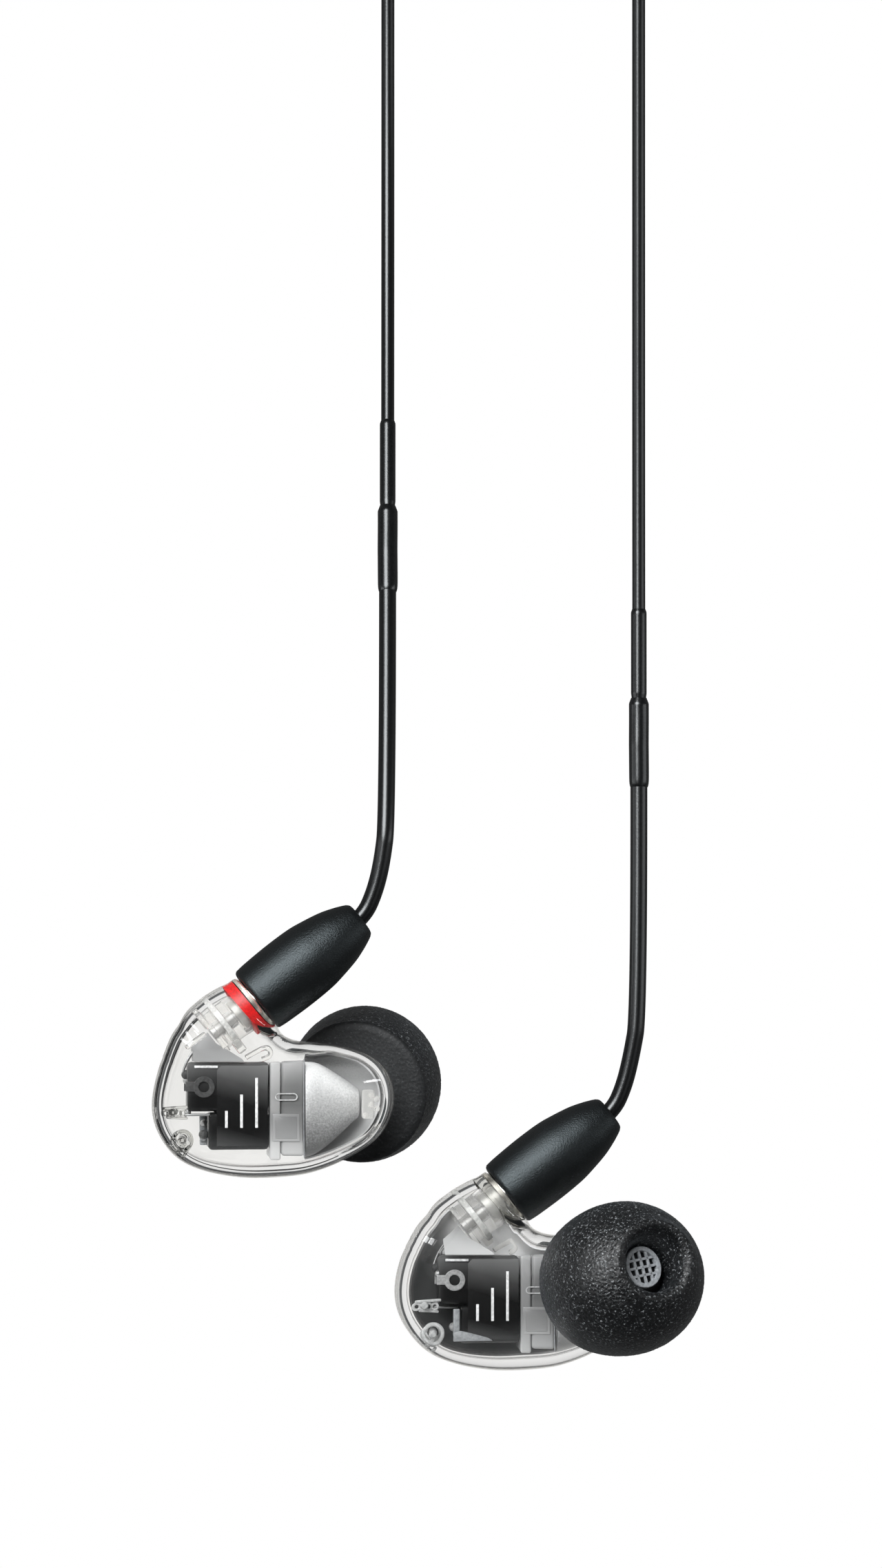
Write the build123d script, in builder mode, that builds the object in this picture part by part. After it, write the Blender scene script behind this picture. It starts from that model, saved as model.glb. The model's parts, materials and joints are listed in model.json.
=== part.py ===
"""A pair of in-ear monitors with detachable cables, lying on a table.

Millimetres, +Z up, the table at Z = 0. Each earphone is drawn once in its own frame: the
origin is the middle of the joint between shell and cable barrel, the barrel's axis lies in
XY, the outer cover faces +Z and the ear tip points down. The right one is placed as drawn
and stands on its tip, the left one is its mirror image and lies on its outer cover.
"""
import os
from math import cos, pi, radians, sin, tan

from build123d import *

os.makedirs("parts", exist_ok=True)

# Where the earphones lie: joint middle of each, and how far both lean over the Y axis.
RIGHT_AT = (-15.04, 12.02, 18.02)
LEFT_AT = (6.8, -5.09, 5.04)
LEAN = 4.0
RUNNING_GAP = 0.03  # radial, between round parts that turn or slide in each other

# Clear shell.
SHELL_MIDDLE = (1.3, -8.6)
SHELL_OUTLINE = [
    (-7.45, -2.2), (-9.4, -8.1), (-7.35, -12.8), (0, -15.45), (7.8, -13.75),
    (12.1, -8.9), (9.8, -4.7), (4.8, -3.5), (-3.2, -1.45),
]
OUTER_HEIGHT = 4.5
INNER_DEPTH = 5.3
WALL = 0.95
DOME_ANGLE = 1.25  # radians of the dome's arc that the shell uses
DOME_POWER = 0.42
DOME_STEPS = 7
POST_RADIUS = 0.55
POSTS = [(-7.1, -9.6), (-6.65, -12.05)]

# Connector boss, jack and plug, measured along the barrel's axis from the joint.
BARREL_ANGLE = 38.0
BOSS_RADIUS = 2.72
BOSS_ROOT_RADIUS = 3.05
BOSS_DEPTH = 6.2
JOINT_GAP = 0.05
JACK_RADIUS = 1.75
JACK_BACK_RADIUS = 2.0
JACK_STEP = 1.7
JACK_DEPTH = 4.3
CUP_RADIUS = 1.4
CUP_DEPTH = 2.4
RIM_RADIUS = 2.45
RIM_DEPTH = 0.5
MARKER_FROM = 0.6
MARKER_TO = 1.6
CONTACT_RADIUS = 0.5
PIN_RADIUS = 0.24
COLLAR_WALL = 0.42
COLLAR_REACH = 2.2
COLLAR_ROOT = 1.6
BARREL_LENGTH = 11.7

# Nozzle and ear tip, measured along the nozzle's axis from its root.
NOZZLE_ROOT = (7.85, -8.3, -4.3)
NOZZLE_TILT = 20.0
NOZZLE_TURN = 28.0
NOZZLE_RADIUS = 1.5
NOZZLE_BORE = 0.95
NOZZLE_LENGTH = 5.2
TIP_FROM = 2.0
TIP_CORE_RADIUS = 2.15
TIP_CORE_TO = 11.2
SCREEN_RADIUS = 1.62
SCREEN_THICKNESS = 0.35
FOAM_RADIUS = 6.75
FOAM_REAR_RADIUS = 6.2
FOAM_WIDEST = 6.4
FOAM_CREST_RADIUS = 3.5
FOAM_FRONT = 12.7

# Cables.
BRANCH_RADIUS = 0.575
MAIN_RADIUS = 1.0
FORMED_RADIUS = 0.75
LOWER_SLEEVE_RADIUS = 0.875
UPPER_SLEEVE_RADIUS = 0.685
SLEEVE_LENGTH = 7.85
RIGHT_CABLE_X = -3.53
LEFT_CABLE_X = 18.52
FORMED_LENGTH = 19.8  # straight stretch of the formed wire, up to its lower sleeve
# Coils: radius at the middle of the turns, three turns side by side, stacked in layers.
BRANCH_COIL_MIDDLE = 6.3
BRANCH_PITCH = 1.2
BRANCH_LAYERS = 3
MAIN_COIL_MIDDLE = 10.8
MAIN_PITCH = 2.02
MAIN_LAYERS = 4
COIL_Y = 110.5
MAIN_COIL_Y = 170.0
TIE_THICKNESS = 0.6
TIE_WIDTH = 5.0

# Neck slider and Y-split, on the two branches side by side.
PAIR_X = 7.6
PAIR_HALF = 0.75
PAIR_HEIGHT = 1.7
SLIDER_FROM = 135.0
SLIDER_LENGTH = 6.0
SPLIT_FROM = 148.5
SPLIT_LENGTH = 7.0

# Stereo plug with a 3.5 mm shaft of standard length, measured along it from the cable.
PLUG_AT = (31.6, 150.0)
PLUG_RADIUS = 1.75
PLUG_GRIP_RADIUS = 2.9
RELIEF_END = 5.5
GRIP_END = 17.0
SHAFT_FROM = 17.6
SLEEVE_END = 24.0
RING_END = 26.9
BAND = 0.6  # insulating band each side of the ring contact
PLUG_END = 31.6


def direction(angle, rise=0.0):
    """Unit vector at an angle from +X in XY, raised by rise."""
    return Vector(
        cos(radians(rise)) * cos(radians(angle)),
        cos(radians(rise)) * sin(radians(angle)),
        sin(radians(rise)),
    )


BARREL_AXIS = direction(BARREL_ANGLE)
NOZZLE_AXIS = direction(NOZZLE_TURN, NOZZLE_TILT - 90)
# Sketch planes that hold an axis: X runs along it, Y is the radius.
BARREL = Plane(origin=(0, 0, 0), x_dir=BARREL_AXIS, z_dir=(0, 0, 1))
NOZZLE = Plane(origin=NOZZLE_ROOT, x_dir=NOZZLE_AXIS, z_dir=direction(NOZZLE_TURN + 90))


def turned(plane, *profile):
    """A round piece from (along, radius) points about the plane's X axis."""
    with BuildPart() as piece:
        with BuildSketch(plane):
            with BuildLine():
                Polyline(*profile, close=True)
            make_face()
        revolve(axis=Axis(plane.origin, plane.x_dir))
    return piece.part


def ring(plane, start, end, outer, inner=0.0):
    """A plain round sleeve, or a rod where inner is 0."""
    return turned(plane, (start, inner), (end, inner), (end, outer), (start, outer))


def outline(size, inset):
    """The shell's outline, scaled about its middle after moving in by a wall."""
    middle = Vector(*SHELL_MIDDLE)
    spokes = [Vector(*point) - middle for point in SHELL_OUTLINE]
    return [middle + spoke * (size * (1 - inset / spoke.length)) for spoke in spokes]


def pillow(top, bottom, inset):
    """The shell's domed body, or the room inside it."""
    with BuildPart() as piece:
        for step in range(DOME_STEPS):
            arc = DOME_ANGLE * (2 * step / (DOME_STEPS - 1) - 1)
            level = (top - bottom) / 2 + (top + bottom) / 2 * sin(arc) / sin(DOME_ANGLE)
            with BuildSketch(Plane.XY.offset(level)):
                with BuildLine():
                    Spline(*outline(cos(arc) ** DOME_POWER, inset), periodic=True)
                make_face()
        loft()
    return piece.part


def fillet_radii(points):
    """Largest tangent arc at each corner: 0.45 of the shorter run over tan(half the turn)."""
    corners = [Vector(*point) for point in points]
    radii = []
    for before, here, after in zip(corners, corners[1:], corners[2:]):
        turn = (here - before).get_angle(after - here)
        run = min((here - before).length, (after - here).length)
        radii.append(0.45 * run / tan(radians(turn) / 2))
    return radii


def tube(name, points, radius):
    """A cable along straight runs and tangent arcs; prints its length and tightest arc."""
    radii = fillet_radii(points)
    with BuildPart() as piece:
        with BuildLine() as route:
            if radii:
                FilletPolyline(*points, radius=radii)
            else:
                Line(*points)
        path = route.wire()
        with BuildSketch(Plane(origin=path @ 0, z_dir=path % 0)):
            Circle(radius)
        sweep(path=path)
    length = path.length
    share = piece.part.volume / (pi * radius**2 * length)
    tightest = min(radii, default=length) / (2 * radius)
    print(f"{name}: {length:.1f} mm, tightest arc {tightest:.1f} d, volume share {share:.4f}")
    return piece.part


def box_between(low, high, round_by=0.0):
    """A block between two corners, its upright edges rounded."""
    with BuildPart() as piece:
        middle = tuple((a + b) / 2 for a, b in zip(low, high))
        with Locations(middle):
            Box(*[b - a for a, b in zip(low, high)])
        if round_by:
            fillet(piece.edges().filter_by(Axis.Z), round_by)
    return piece.part


# ---------------------------------------------------------------- shell
shell_body = pillow(OUTER_HEIGHT, INNER_DEPTH, 0)
shell_room = pillow(OUTER_HEIGHT - WALL, INNER_DEPTH - WALL, WALL)
boss = turned(
    BARREL,
    (-JOINT_GAP, 0), (-JOINT_GAP, BOSS_RADIUS), (-BOSS_DEPTH, BOSS_ROOT_RADIUS), (-BOSS_DEPTH, 0),
)
boss_room = turned(
    BARREL,
    (0, 0), (0, RIM_RADIUS), (-RIM_DEPTH, RIM_RADIUS), (-RIM_DEPTH, JACK_RADIUS),
    (-MARKER_FROM, JACK_RADIUS), (-MARKER_FROM, RIM_RADIUS), (-MARKER_TO, RIM_RADIUS),
    (-MARKER_TO, JACK_RADIUS), (-JACK_STEP, JACK_RADIUS), (-JACK_STEP, JACK_BACK_RADIUS),
    (-BOSS_DEPTH, JACK_BACK_RADIUS), (-BOSS_DEPTH, 0),
)
nozzle_stem = turned(
    NOZZLE,
    (0, NOZZLE_BORE), (NOZZLE_LENGTH, NOZZLE_BORE), (NOZZLE_LENGTH, NOZZLE_RADIUS - 0.15),
    (NOZZLE_LENGTH - 0.15, NOZZLE_RADIUS), (1.6, NOZZLE_RADIUS), (1.3, 2.0), (0.6, 2.7), (0, 2.7),
)
nozzle_hole = ring(NOZZLE, -1.5, NOZZLE_LENGTH, NOZZLE_BORE)

with BuildPart() as shell:
    add(shell_body)
    add(boss)
    add(shell_room, mode=Mode.SUBTRACT)
    add(boss_room, mode=Mode.SUBTRACT)

with BuildPart() as outer_cover:
    add(shell.part)
    split(bisect_by=Plane.XY, keep=Keep.TOP)

with BuildPart() as posts:
    with BuildSketch(Plane.XY.offset(-INNER_DEPTH)):
        with Locations(*POSTS):
            Circle(POST_RADIUS)
    extrude(amount=OUTER_HEIGHT + INNER_DEPTH)
    add(shell_room, mode=Mode.INTERSECT)

with BuildPart() as inner_cover:
    add(shell.part)
    split(bisect_by=Plane.XY, keep=Keep.BOTTOM)
    add(posts.part)
    add(nozzle_stem)
    add(nozzle_hole, mode=Mode.SUBTRACT)

# ---------------------------------------------------------------- jack in the boss
jack_rim = ring(BARREL, -RIM_DEPTH, -JOINT_GAP, RIM_RADIUS, JACK_RADIUS)
marker_ring = ring(BARREL, -MARKER_TO, -MARKER_FROM, RIM_RADIUS, JACK_RADIUS)
jack_body = turned(
    BARREL,
    (-JOINT_GAP, CUP_RADIUS), (-JOINT_GAP, JACK_RADIUS), (-JACK_STEP, JACK_RADIUS),
    (-JACK_STEP, JACK_BACK_RADIUS), (-JACK_DEPTH, JACK_BACK_RADIUS), (-JACK_DEPTH, CONTACT_RADIUS),
    (-CUP_DEPTH, CONTACT_RADIUS), (-CUP_DEPTH, CUP_RADIUS),
)
CONTACT_BACK = JACK_DEPTH + 0.5
CONTACT_FLOOR = 3.0
SOCKET_RADIUS = PIN_RADIUS + RUNNING_GAP
jack_contact = turned(
    BARREL,
    (-0.9, SOCKET_RADIUS), (-0.9, CONTACT_RADIUS), (-CONTACT_BACK, CONTACT_RADIUS),
    (-CONTACT_BACK, 0), (-CONTACT_FLOOR, 0), (-CONTACT_FLOOR, SOCKET_RADIUS),
)

# ---------------------------------------------------------------- drivers and sound path
driver_high = box_between((-5.95, -9.55, -1.7), (1.05, -5.3, 1.9), 0.35)
driver_low = box_between((-4.15, -12.8, -2.5), (1.05, -9.65, 1.9), 0.35)
crossover_board = box_between((-5.0, -5.2, 2.03), (0.9, -4.0, 2.25), 0.3)

CARRIER_FROM = 1.1
CARRIER_TO = 4.14
CARRIER_DEPTH = 2.4
CARRIER_HEIGHT = 2.0
CARRIER_X = (CARRIER_FROM + CARRIER_TO) / 2
with BuildPart() as driver_carrier:
    with BuildSketch(Plane.XY.offset(-CARRIER_DEPTH)):
        with Locations((CARRIER_X, -9.43)):
            RectangleRounded(CARRIER_TO - CARRIER_FROM, 8.35, 0.5)
    extrude(amount=CARRIER_DEPTH + CARRIER_HEIGHT)
    with BuildSketch(Plane.XY.offset(CARRIER_HEIGHT - 0.6)):
        with Locations((CARRIER_X + 0.1, -10.9)):
            RectangleRounded(1.9, 3.0, 0.4)
    extrude(amount=0.6, mode=Mode.SUBTRACT)
    with BuildSketch(Plane.YZ.offset(CARRIER_FROM)):
        with Locations((-7.45, 0.1), (-11.2, 0.1)):
            Circle(0.55)
    extrude(amount=CARRIER_TO - CARRIER_FROM, mode=Mode.SUBTRACT)

elbow = ring(NOZZLE, -2.6, -0.7, 1.45)
elbow_bore = ring(NOZZLE, -1.7, 0, 0.75)
FUNNEL_MOUTH = 4.2
FUNNEL_END = 9.0
with BuildPart() as acoustic_funnel:
    with BuildSketch(Plane.YZ.offset(FUNNEL_MOUTH)):
        with Locations((-9.4, -0.2)):
            RectangleRounded(8.2, 5.0, 2.0)
    with BuildSketch(Plane.YZ.offset(FUNNEL_END)):
        with Locations((-8.9, -0.9)):
            RectangleRounded(2.4, 2.2, 0.8)
    loft()
    add(elbow)
    add(elbow_bore, mode=Mode.SUBTRACT)

# ---------------------------------------------------------------- ear tip
CORE_BORE = NOZZLE_RADIUS + RUNNING_GAP
CORE_STOP = NOZZLE_LENGTH + 0.2
SCREEN_FROM = TIP_CORE_TO - 0.8
tip_core = turned(
    NOZZLE,
    (TIP_FROM, CORE_BORE), (CORE_STOP, CORE_BORE), (CORE_STOP, 1.2), (SCREEN_FROM, 1.2),
    (SCREEN_FROM, SCREEN_RADIUS), (TIP_CORE_TO, SCREEN_RADIUS), (TIP_CORE_TO, TIP_CORE_RADIUS),
    (TIP_FROM, TIP_CORE_RADIUS),
)
tip_screen = ring(NOZZLE, SCREEN_FROM, SCREEN_FROM + SCREEN_THICKNESS, SCREEN_RADIUS)

with BuildPart() as foam_tip:
    with BuildSketch(NOZZLE):
        with BuildLine():
            Polyline(
                (FOAM_FRONT - 0.35, 2.45), (TIP_CORE_TO, 2.45), (TIP_CORE_TO, TIP_CORE_RADIUS),
                (TIP_FROM, TIP_CORE_RADIUS), (TIP_FROM, FOAM_REAR_RADIUS - 0.4),
                (TIP_FROM + 0.3, FOAM_REAR_RADIUS),
            )
            Spline(
                (TIP_FROM + 0.3, FOAM_REAR_RADIUS), (FOAM_WIDEST, FOAM_RADIUS),
                (FOAM_WIDEST + 3.4, 6.2), (FOAM_FRONT - 0.75, 4.7),
                (FOAM_FRONT, FOAM_CREST_RADIUS), (FOAM_FRONT - 0.35, 2.45),
            )
        make_face()
    revolve(axis=Axis(NOZZLE.origin, NOZZLE.x_dir))

# ---------------------------------------------------------------- cable end: barrel and plug
COLLAR_RADIUS = CUP_RADIUS - RUNNING_GAP - 0.02
with BuildPart() as connector_barrel:
    with BuildSketch(BARREL):
        with BuildLine():
            Polyline(
                (11.35, 1.72), (BARREL_LENGTH, 1.3), (BARREL_LENGTH, FORMED_RADIUS),
                (10.2, FORMED_RADIUS), (10.2, 0), (COLLAR_ROOT, 0), (COLLAR_ROOT, COLLAR_RADIUS),
                (0, COLLAR_RADIUS), (0, 2.8), (0.25, 3.05),
            )
            Spline(
                (0.25, 3.05), (1.3, 3.17), (3.7, 3.24), (6, 3.18), (7.5, 2.97), (9.1, 2.64),
                (10.3, 2.24), (11.35, 1.72),
            )
        make_face()
    revolve(axis=Axis(BARREL.origin, BARREL.x_dir))

SNAP_FROM = 1.1
SNAP_TO = 1.5
SNAP_INNER = COLLAR_RADIUS - 0.18
plug_collar = turned(
    BARREL,
    (COLLAR_ROOT, COLLAR_RADIUS - COLLAR_WALL), (COLLAR_ROOT, COLLAR_RADIUS),
    (-SNAP_FROM, COLLAR_RADIUS), (-SNAP_FROM, SNAP_INNER - RUNNING_GAP),
    (-SNAP_TO, SNAP_INNER - RUNNING_GAP), (-SNAP_TO, COLLAR_RADIUS),
    (-COLLAR_REACH, COLLAR_RADIUS), (-COLLAR_REACH, COLLAR_RADIUS - COLLAR_WALL),
)
snap_ring = ring(BARREL, -SNAP_TO + 0.03, -SNAP_FROM - 0.03, COLLAR_RADIUS + 0.02, SNAP_INNER)
plug_pin = turned(
    BARREL,
    (-2.0, 0), (-1.8, PIN_RADIUS), (-0.4, PIN_RADIUS), (-0.4, COLLAR_RADIUS - COLLAR_WALL),
    (COLLAR_ROOT, COLLAR_RADIUS - COLLAR_WALL), (COLLAR_ROOT, 0),
)

EARPHONE = {
    "outer_cover": outer_cover.part,
    "inner_cover": inner_cover.part,
    "jack_rim": jack_rim,
    "marker_ring": marker_ring,
    "jack_body": jack_body,
    "jack_contact": jack_contact,
    "crossover_board": crossover_board,
    "driver_high": driver_high,
    "driver_low": driver_low,
    "driver_carrier": driver_carrier.part,
    "acoustic_funnel": acoustic_funnel.part,
    "tip_core": tip_core,
    "tip_screen": tip_screen,
    "foam_tip": foam_tip.part,
    "connector_barrel": connector_barrel.part,
    "plug_collar": plug_collar,
    "snap_ring": snap_ring,
    "plug_pin": plug_pin,
}
SIDES = {"right": (RIGHT_AT, False), "left": (LEFT_AT, True)}


def save(part, node):
    """Names a finished piece and writes it."""
    part.label = node
    export_step(part, f"parts/{node}.step")


for side, (place, mirrored) in SIDES.items():
    for node, piece in EARPHONE.items():
        drawn = piece.mirror(Plane.XY) if mirrored else piece
        save(Location(place, (0, LEAN, 0)) * drawn, f"{side}_{node}")


# ---------------------------------------------------------------- cables
def on_barrel(place, along):
    """Point on the placed barrel's axis."""
    axis = Vector(*BARREL_AXIS).rotate(Axis.Y, LEAN)
    return Vector(*place) + axis * along


def branch(side, place, straight_x, drop, first_run, cord_points, tail_points):
    """Formed wire, its two sleeves, the cord's free tubes and its coil."""
    start = on_barrel(place, 10.2)
    bend = on_barrel(place, 12.0)
    x, y, z = bend.X, bend.Y, bend.Z
    wire = [
        tuple(start), tuple(bend), (x + 0.95, y + 2.1, z), (x + 1.6, y + 4.7, z),
        (straight_x, y + 8.6, z), (straight_x, y + 8.6 + FORMED_LENGTH, z - drop),
    ]
    save(tube(f"{side} formed wire", wire, FORMED_RADIUS), f"{side}_formed_wire")
    end = Vector(*wire[-1])
    run = (end - Vector(*wire[-2])).normalized()
    axis = Plane(origin=end, x_dir=run, z_dir=(1, 0, 0))
    lower_end = SLEEVE_LENGTH
    upper_end = 2 * SLEEVE_LENGTH
    save(
        turned(
            axis, (0, 0), (0, LOWER_SLEEVE_RADIUS - 0.1), (0.3, LOWER_SLEEVE_RADIUS),
            (lower_end - 0.4, LOWER_SLEEVE_RADIUS), (lower_end, UPPER_SLEEVE_RADIUS), (lower_end, 0),
        ),
        f"{side}_lower_sleeve",
    )
    save(
        turned(
            axis, (lower_end, 0), (lower_end, UPPER_SLEEVE_RADIUS),
            (upper_end - 0.2, UPPER_SLEEVE_RADIUS), (upper_end, BRANCH_RADIUS), (upper_end, 0),
        ),
        f"{side}_upper_sleeve",
    )
    exit_point = end + run * upper_end
    settle = exit_point + run * first_run
    points = [tuple(exit_point), tuple(settle)] + [(straight_x, *point) for point in cord_points]
    save(tube(f"{side} branch", points, BRANCH_RADIUS), f"{side}_branch_cord")
    save(tube(f"{side} tail", tail_points, BRANCH_RADIUS), f"{side}_branch_tail")
    middle = (straight_x - BRANCH_COIL_MIDDLE - BRANCH_PITCH, COIL_Y)
    save(coil(middle, BRANCH_COIL_MIDDLE, BRANCH_PITCH, BRANCH_RADIUS, BRANCH_LAYERS),
         f"{side}_branch_coil")
    print(f"{side} exit {tuple(exit_point)} straight x {straight_x:.2f}")


def coil(middle, radius, pitch, cord_radius, layers):
    """Closed solid round a neat coil, three turns wide."""
    half = pitch + cord_radius + 0.03
    with BuildPart() as piece:
        with BuildSketch():
            with Locations(middle):
                Circle(radius + half)
                Circle(radius - half, mode=Mode.SUBTRACT)
        extrude(amount=coil_height(pitch, cord_radius, layers))
        fillet(piece.edges().group_by(Axis.Z)[-1], 0.4 * cord_radius)
    return piece.part


def coil_height(pitch, cord_radius, layers):
    """Height of a coil of that many layers."""
    return 2 * cord_radius + (layers - 1) * pitch + 0.05


def coil_mouth(radius, pitch, cord_radius):
    """How far before its tangent point a cord on the outer turn meets the coil's solid."""
    outside = radius + pitch + cord_radius + 0.03
    return (outside**2 - (radius + pitch) ** 2) ** 0.5


BRANCH_MOUTH = coil_mouth(BRANCH_COIL_MIDDLE, BRANCH_PITCH, BRANCH_RADIUS) - 0.4
COIL_MOUTH = COIL_Y - BRANCH_MOUTH
COIL_LEAVE = COIL_Y + BRANCH_MOUTH
TAIL_HEIGHT = BRANCH_RADIUS + (BRANCH_LAYERS - 1) * BRANCH_PITCH


def tail(x, way):
    """Route from the top of a branch coil to the Y-split, way being +1 for the right cable."""
    pair_x = PAIR_X - way * PAIR_HALF
    return [
        (x, COIL_LEAVE, TAIL_HEIGHT), (x + way * 0.8, 119.2, 2.1), (x + way * 4.0, 124.4, 1.2),
        (x + way * 8.4, 128.2, 1.1), (pair_x, 133.0, PAIR_HEIGHT),
        (pair_x + 0.01, 140.5, PAIR_HEIGHT), (pair_x, SPLIT_FROM, PAIR_HEIGHT),
    ]


branch(
    "right", RIGHT_AT, RIGHT_CABLE_X, 6.0, 10.5,
    [(84.5, 1.45), (96.0, 0.7), (COIL_MOUTH, 0.6)], tail(RIGHT_CABLE_X, 1),
)
branch(
    "left", LEFT_AT, LEFT_CABLE_X, 1.5, 13.0,
    [(74.0, 0.66), (91.0, 0.6), (COIL_MOUTH, 0.62)], tail(LEFT_CABLE_X, -1),
)

SLIDER_BORE = BRANCH_RADIUS + RUNNING_GAP
with BuildPart() as neck_slider:
    with BuildSketch(Plane.XZ.offset(-SLIDER_FROM)):
        with Locations((PAIR_X, PAIR_HEIGHT)):
            SlotOverall(5.0, 2.9)
            with Locations((-PAIR_HALF, 0), (PAIR_HALF, 0)):
                Circle(SLIDER_BORE, mode=Mode.SUBTRACT)
    extrude(amount=-SLIDER_LENGTH)
save(neck_slider.part, "neck_slider")

with BuildPart() as y_split:
    with BuildSketch(Plane.XZ.offset(-SPLIT_FROM)):
        with Locations((PAIR_X, PAIR_HEIGHT)):
            SlotOverall(4.8, 3.0)
    with BuildSketch(Plane.XZ.offset(-SPLIT_FROM - SPLIT_LENGTH)):
        with Locations((PAIR_X, PAIR_HEIGHT)):
            SlotOverall(2.9, 2.6)
    loft()
save(y_split.part, "y_split")

SPLIT_END = SPLIT_FROM + SPLIT_LENGTH
OUTER_TURN = MAIN_COIL_MIDDLE + MAIN_PITCH
MAIN_COIL_AT = (PAIR_X + OUTER_TURN, MAIN_COIL_Y)
MAIN_MOUTH = MAIN_COIL_Y - coil_mouth(MAIN_COIL_MIDDLE, MAIN_PITCH, MAIN_RADIUS) + 0.4
MAIN_HEIGHT = coil_height(MAIN_PITCH, MAIN_RADIUS, MAIN_LAYERS)
main_lead = tube(
    "main lead",
    [
        (PAIR_X, SPLIT_END, PAIR_HEIGHT), (PAIR_X, SPLIT_END + 4.5, PAIR_HEIGHT),
        (PAIR_X, MAIN_MOUTH, 1.1),
    ],
    MAIN_RADIUS,
)
save(main_lead, "main_lead")
main_coil = coil(MAIN_COIL_AT, MAIN_COIL_MIDDLE, MAIN_PITCH, MAIN_RADIUS, MAIN_LAYERS)

with BuildPart() as coil_tie:
    wide = 2 * (MAIN_PITCH + MAIN_RADIUS + TIE_THICKNESS)
    north = MAIN_COIL_Y + MAIN_COIL_MIDDLE
    with Locations((MAIN_COIL_AT[0], north, (MAIN_HEIGHT + TIE_THICKNESS) / 2)):
        Box(TIE_WIDTH, wide + 0.7, MAIN_HEIGHT + TIE_THICKNESS)
    add(main_coil, mode=Mode.SUBTRACT)
save(main_coil, "main_coil")
save(coil_tie.part, "coil_tie")

# ---------------------------------------------------------------- plug
PLUG_HEIGHT = PLUG_GRIP_RADIUS + 0.02
PLUG = Plane(origin=(*PLUG_AT, PLUG_HEIGHT), x_dir=(0, -1, 0), z_dir=(0, 0, 1))
EAST_X = MAIN_COIL_AT[0] + OUTER_TURN
MAIN_TOP = MAIN_RADIUS + (MAIN_LAYERS - 1) * MAIN_PITCH
main_tail = tube(
    "main tail",
    [
        (EAST_X, MAIN_MOUTH, MAIN_TOP), (EAST_X, 162.0, 6.0), (EAST_X - 0.7, 157.6, 3.9),
        (PLUG_AT[0], 153.6, PLUG_HEIGHT), (*PLUG_AT, PLUG_HEIGHT),
    ],
    MAIN_RADIUS,
)
save(main_tail, "main_tail")

plug_relief = turned(PLUG, (0, 0), (0, 1.2), (RELIEF_END, 1.75), (RELIEF_END, 0))
plug_grip = turned(
    PLUG,
    (RELIEF_END, 0), (RELIEF_END, 2.3), (RELIEF_END + 0.7, PLUG_GRIP_RADIUS),
    (GRIP_END - 0.5, PLUG_GRIP_RADIUS), (GRIP_END, 2.6), (GRIP_END, 0),
)
plug_sleeve = turned(
    PLUG,
    (GRIP_END, 0), (GRIP_END, 2.3), (SHAFT_FROM, 2.3), (SHAFT_FROM, PLUG_RADIUS),
    (SLEEVE_END, PLUG_RADIUS), (SLEEVE_END, 0),
)
plug_spacer = ring(PLUG, SLEEVE_END, SLEEVE_END + BAND, PLUG_RADIUS)
plug_ring = ring(PLUG, SLEEVE_END + BAND, RING_END, PLUG_RADIUS)
plug_tip = turned(
    PLUG,
    (RING_END, 0), (RING_END, PLUG_RADIUS), (RING_END + BAND, PLUG_RADIUS),
    (RING_END + BAND + 1.2, 1.4), (PLUG_END - 1.9, 1.72), (PLUG_END - 0.4, 0.6), (PLUG_END, 0),
)
for node, piece in {
    "plug_relief": plug_relief, "plug_grip": plug_grip, "plug_sleeve": plug_sleeve,
    "plug_ring": plug_ring, "plug_spacer": plug_spacer, "plug_tip": plug_tip,
}.items():
    save(piece, node)
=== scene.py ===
"""In-ear monitors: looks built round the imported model. Lengths are in millimetres until a mesh is made."""
import json
import math

import bmesh
import bpy
import numpy as np
from mathutils import Matrix, Vector

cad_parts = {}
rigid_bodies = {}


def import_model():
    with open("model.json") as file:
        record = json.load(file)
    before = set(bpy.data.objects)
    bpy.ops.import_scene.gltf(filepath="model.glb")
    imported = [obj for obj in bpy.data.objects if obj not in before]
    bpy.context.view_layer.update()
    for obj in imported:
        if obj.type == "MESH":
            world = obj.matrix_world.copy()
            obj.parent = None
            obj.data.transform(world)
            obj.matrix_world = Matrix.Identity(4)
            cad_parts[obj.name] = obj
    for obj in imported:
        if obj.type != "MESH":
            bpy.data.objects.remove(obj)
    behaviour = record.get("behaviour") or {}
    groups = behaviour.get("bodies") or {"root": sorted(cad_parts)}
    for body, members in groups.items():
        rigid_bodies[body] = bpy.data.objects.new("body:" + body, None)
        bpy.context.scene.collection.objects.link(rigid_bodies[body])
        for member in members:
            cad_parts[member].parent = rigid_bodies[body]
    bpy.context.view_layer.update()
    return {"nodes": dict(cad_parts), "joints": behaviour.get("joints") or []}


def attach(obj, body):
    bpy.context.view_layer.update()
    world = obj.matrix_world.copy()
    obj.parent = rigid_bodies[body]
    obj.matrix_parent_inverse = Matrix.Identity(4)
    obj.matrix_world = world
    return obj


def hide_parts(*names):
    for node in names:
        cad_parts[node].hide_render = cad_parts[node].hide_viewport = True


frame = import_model()
MM = 0.001
JOINTS = {joint["name"]: joint for joint in frame["joints"]}

# ------------------------------------------------------------------ sizes shared with the CAD
BARREL_ANGLE = math.radians(38)
NOZZLE_TILT = math.radians(20)
NOZZLE_TURN = math.radians(28)
NOZZLE_ROOT = np.array([7.85, -8.3, -4.3])
BRANCH_RADIUS = 0.575
MAIN_RADIUS = 1.0
FORMED_RADIUS = 0.75
COIL_Y = 110.5
BRANCH_MIDDLE = 6.3
BRANCH_PITCH = 1.2
MAIN_MIDDLE = 10.8
MAIN_PITCH = 2.02
MAIN_COIL_Y = 170.0
PAIR_X = 7.6
PAIR_HALF = 0.75
PAIR_HEIGHT = 1.7

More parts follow.
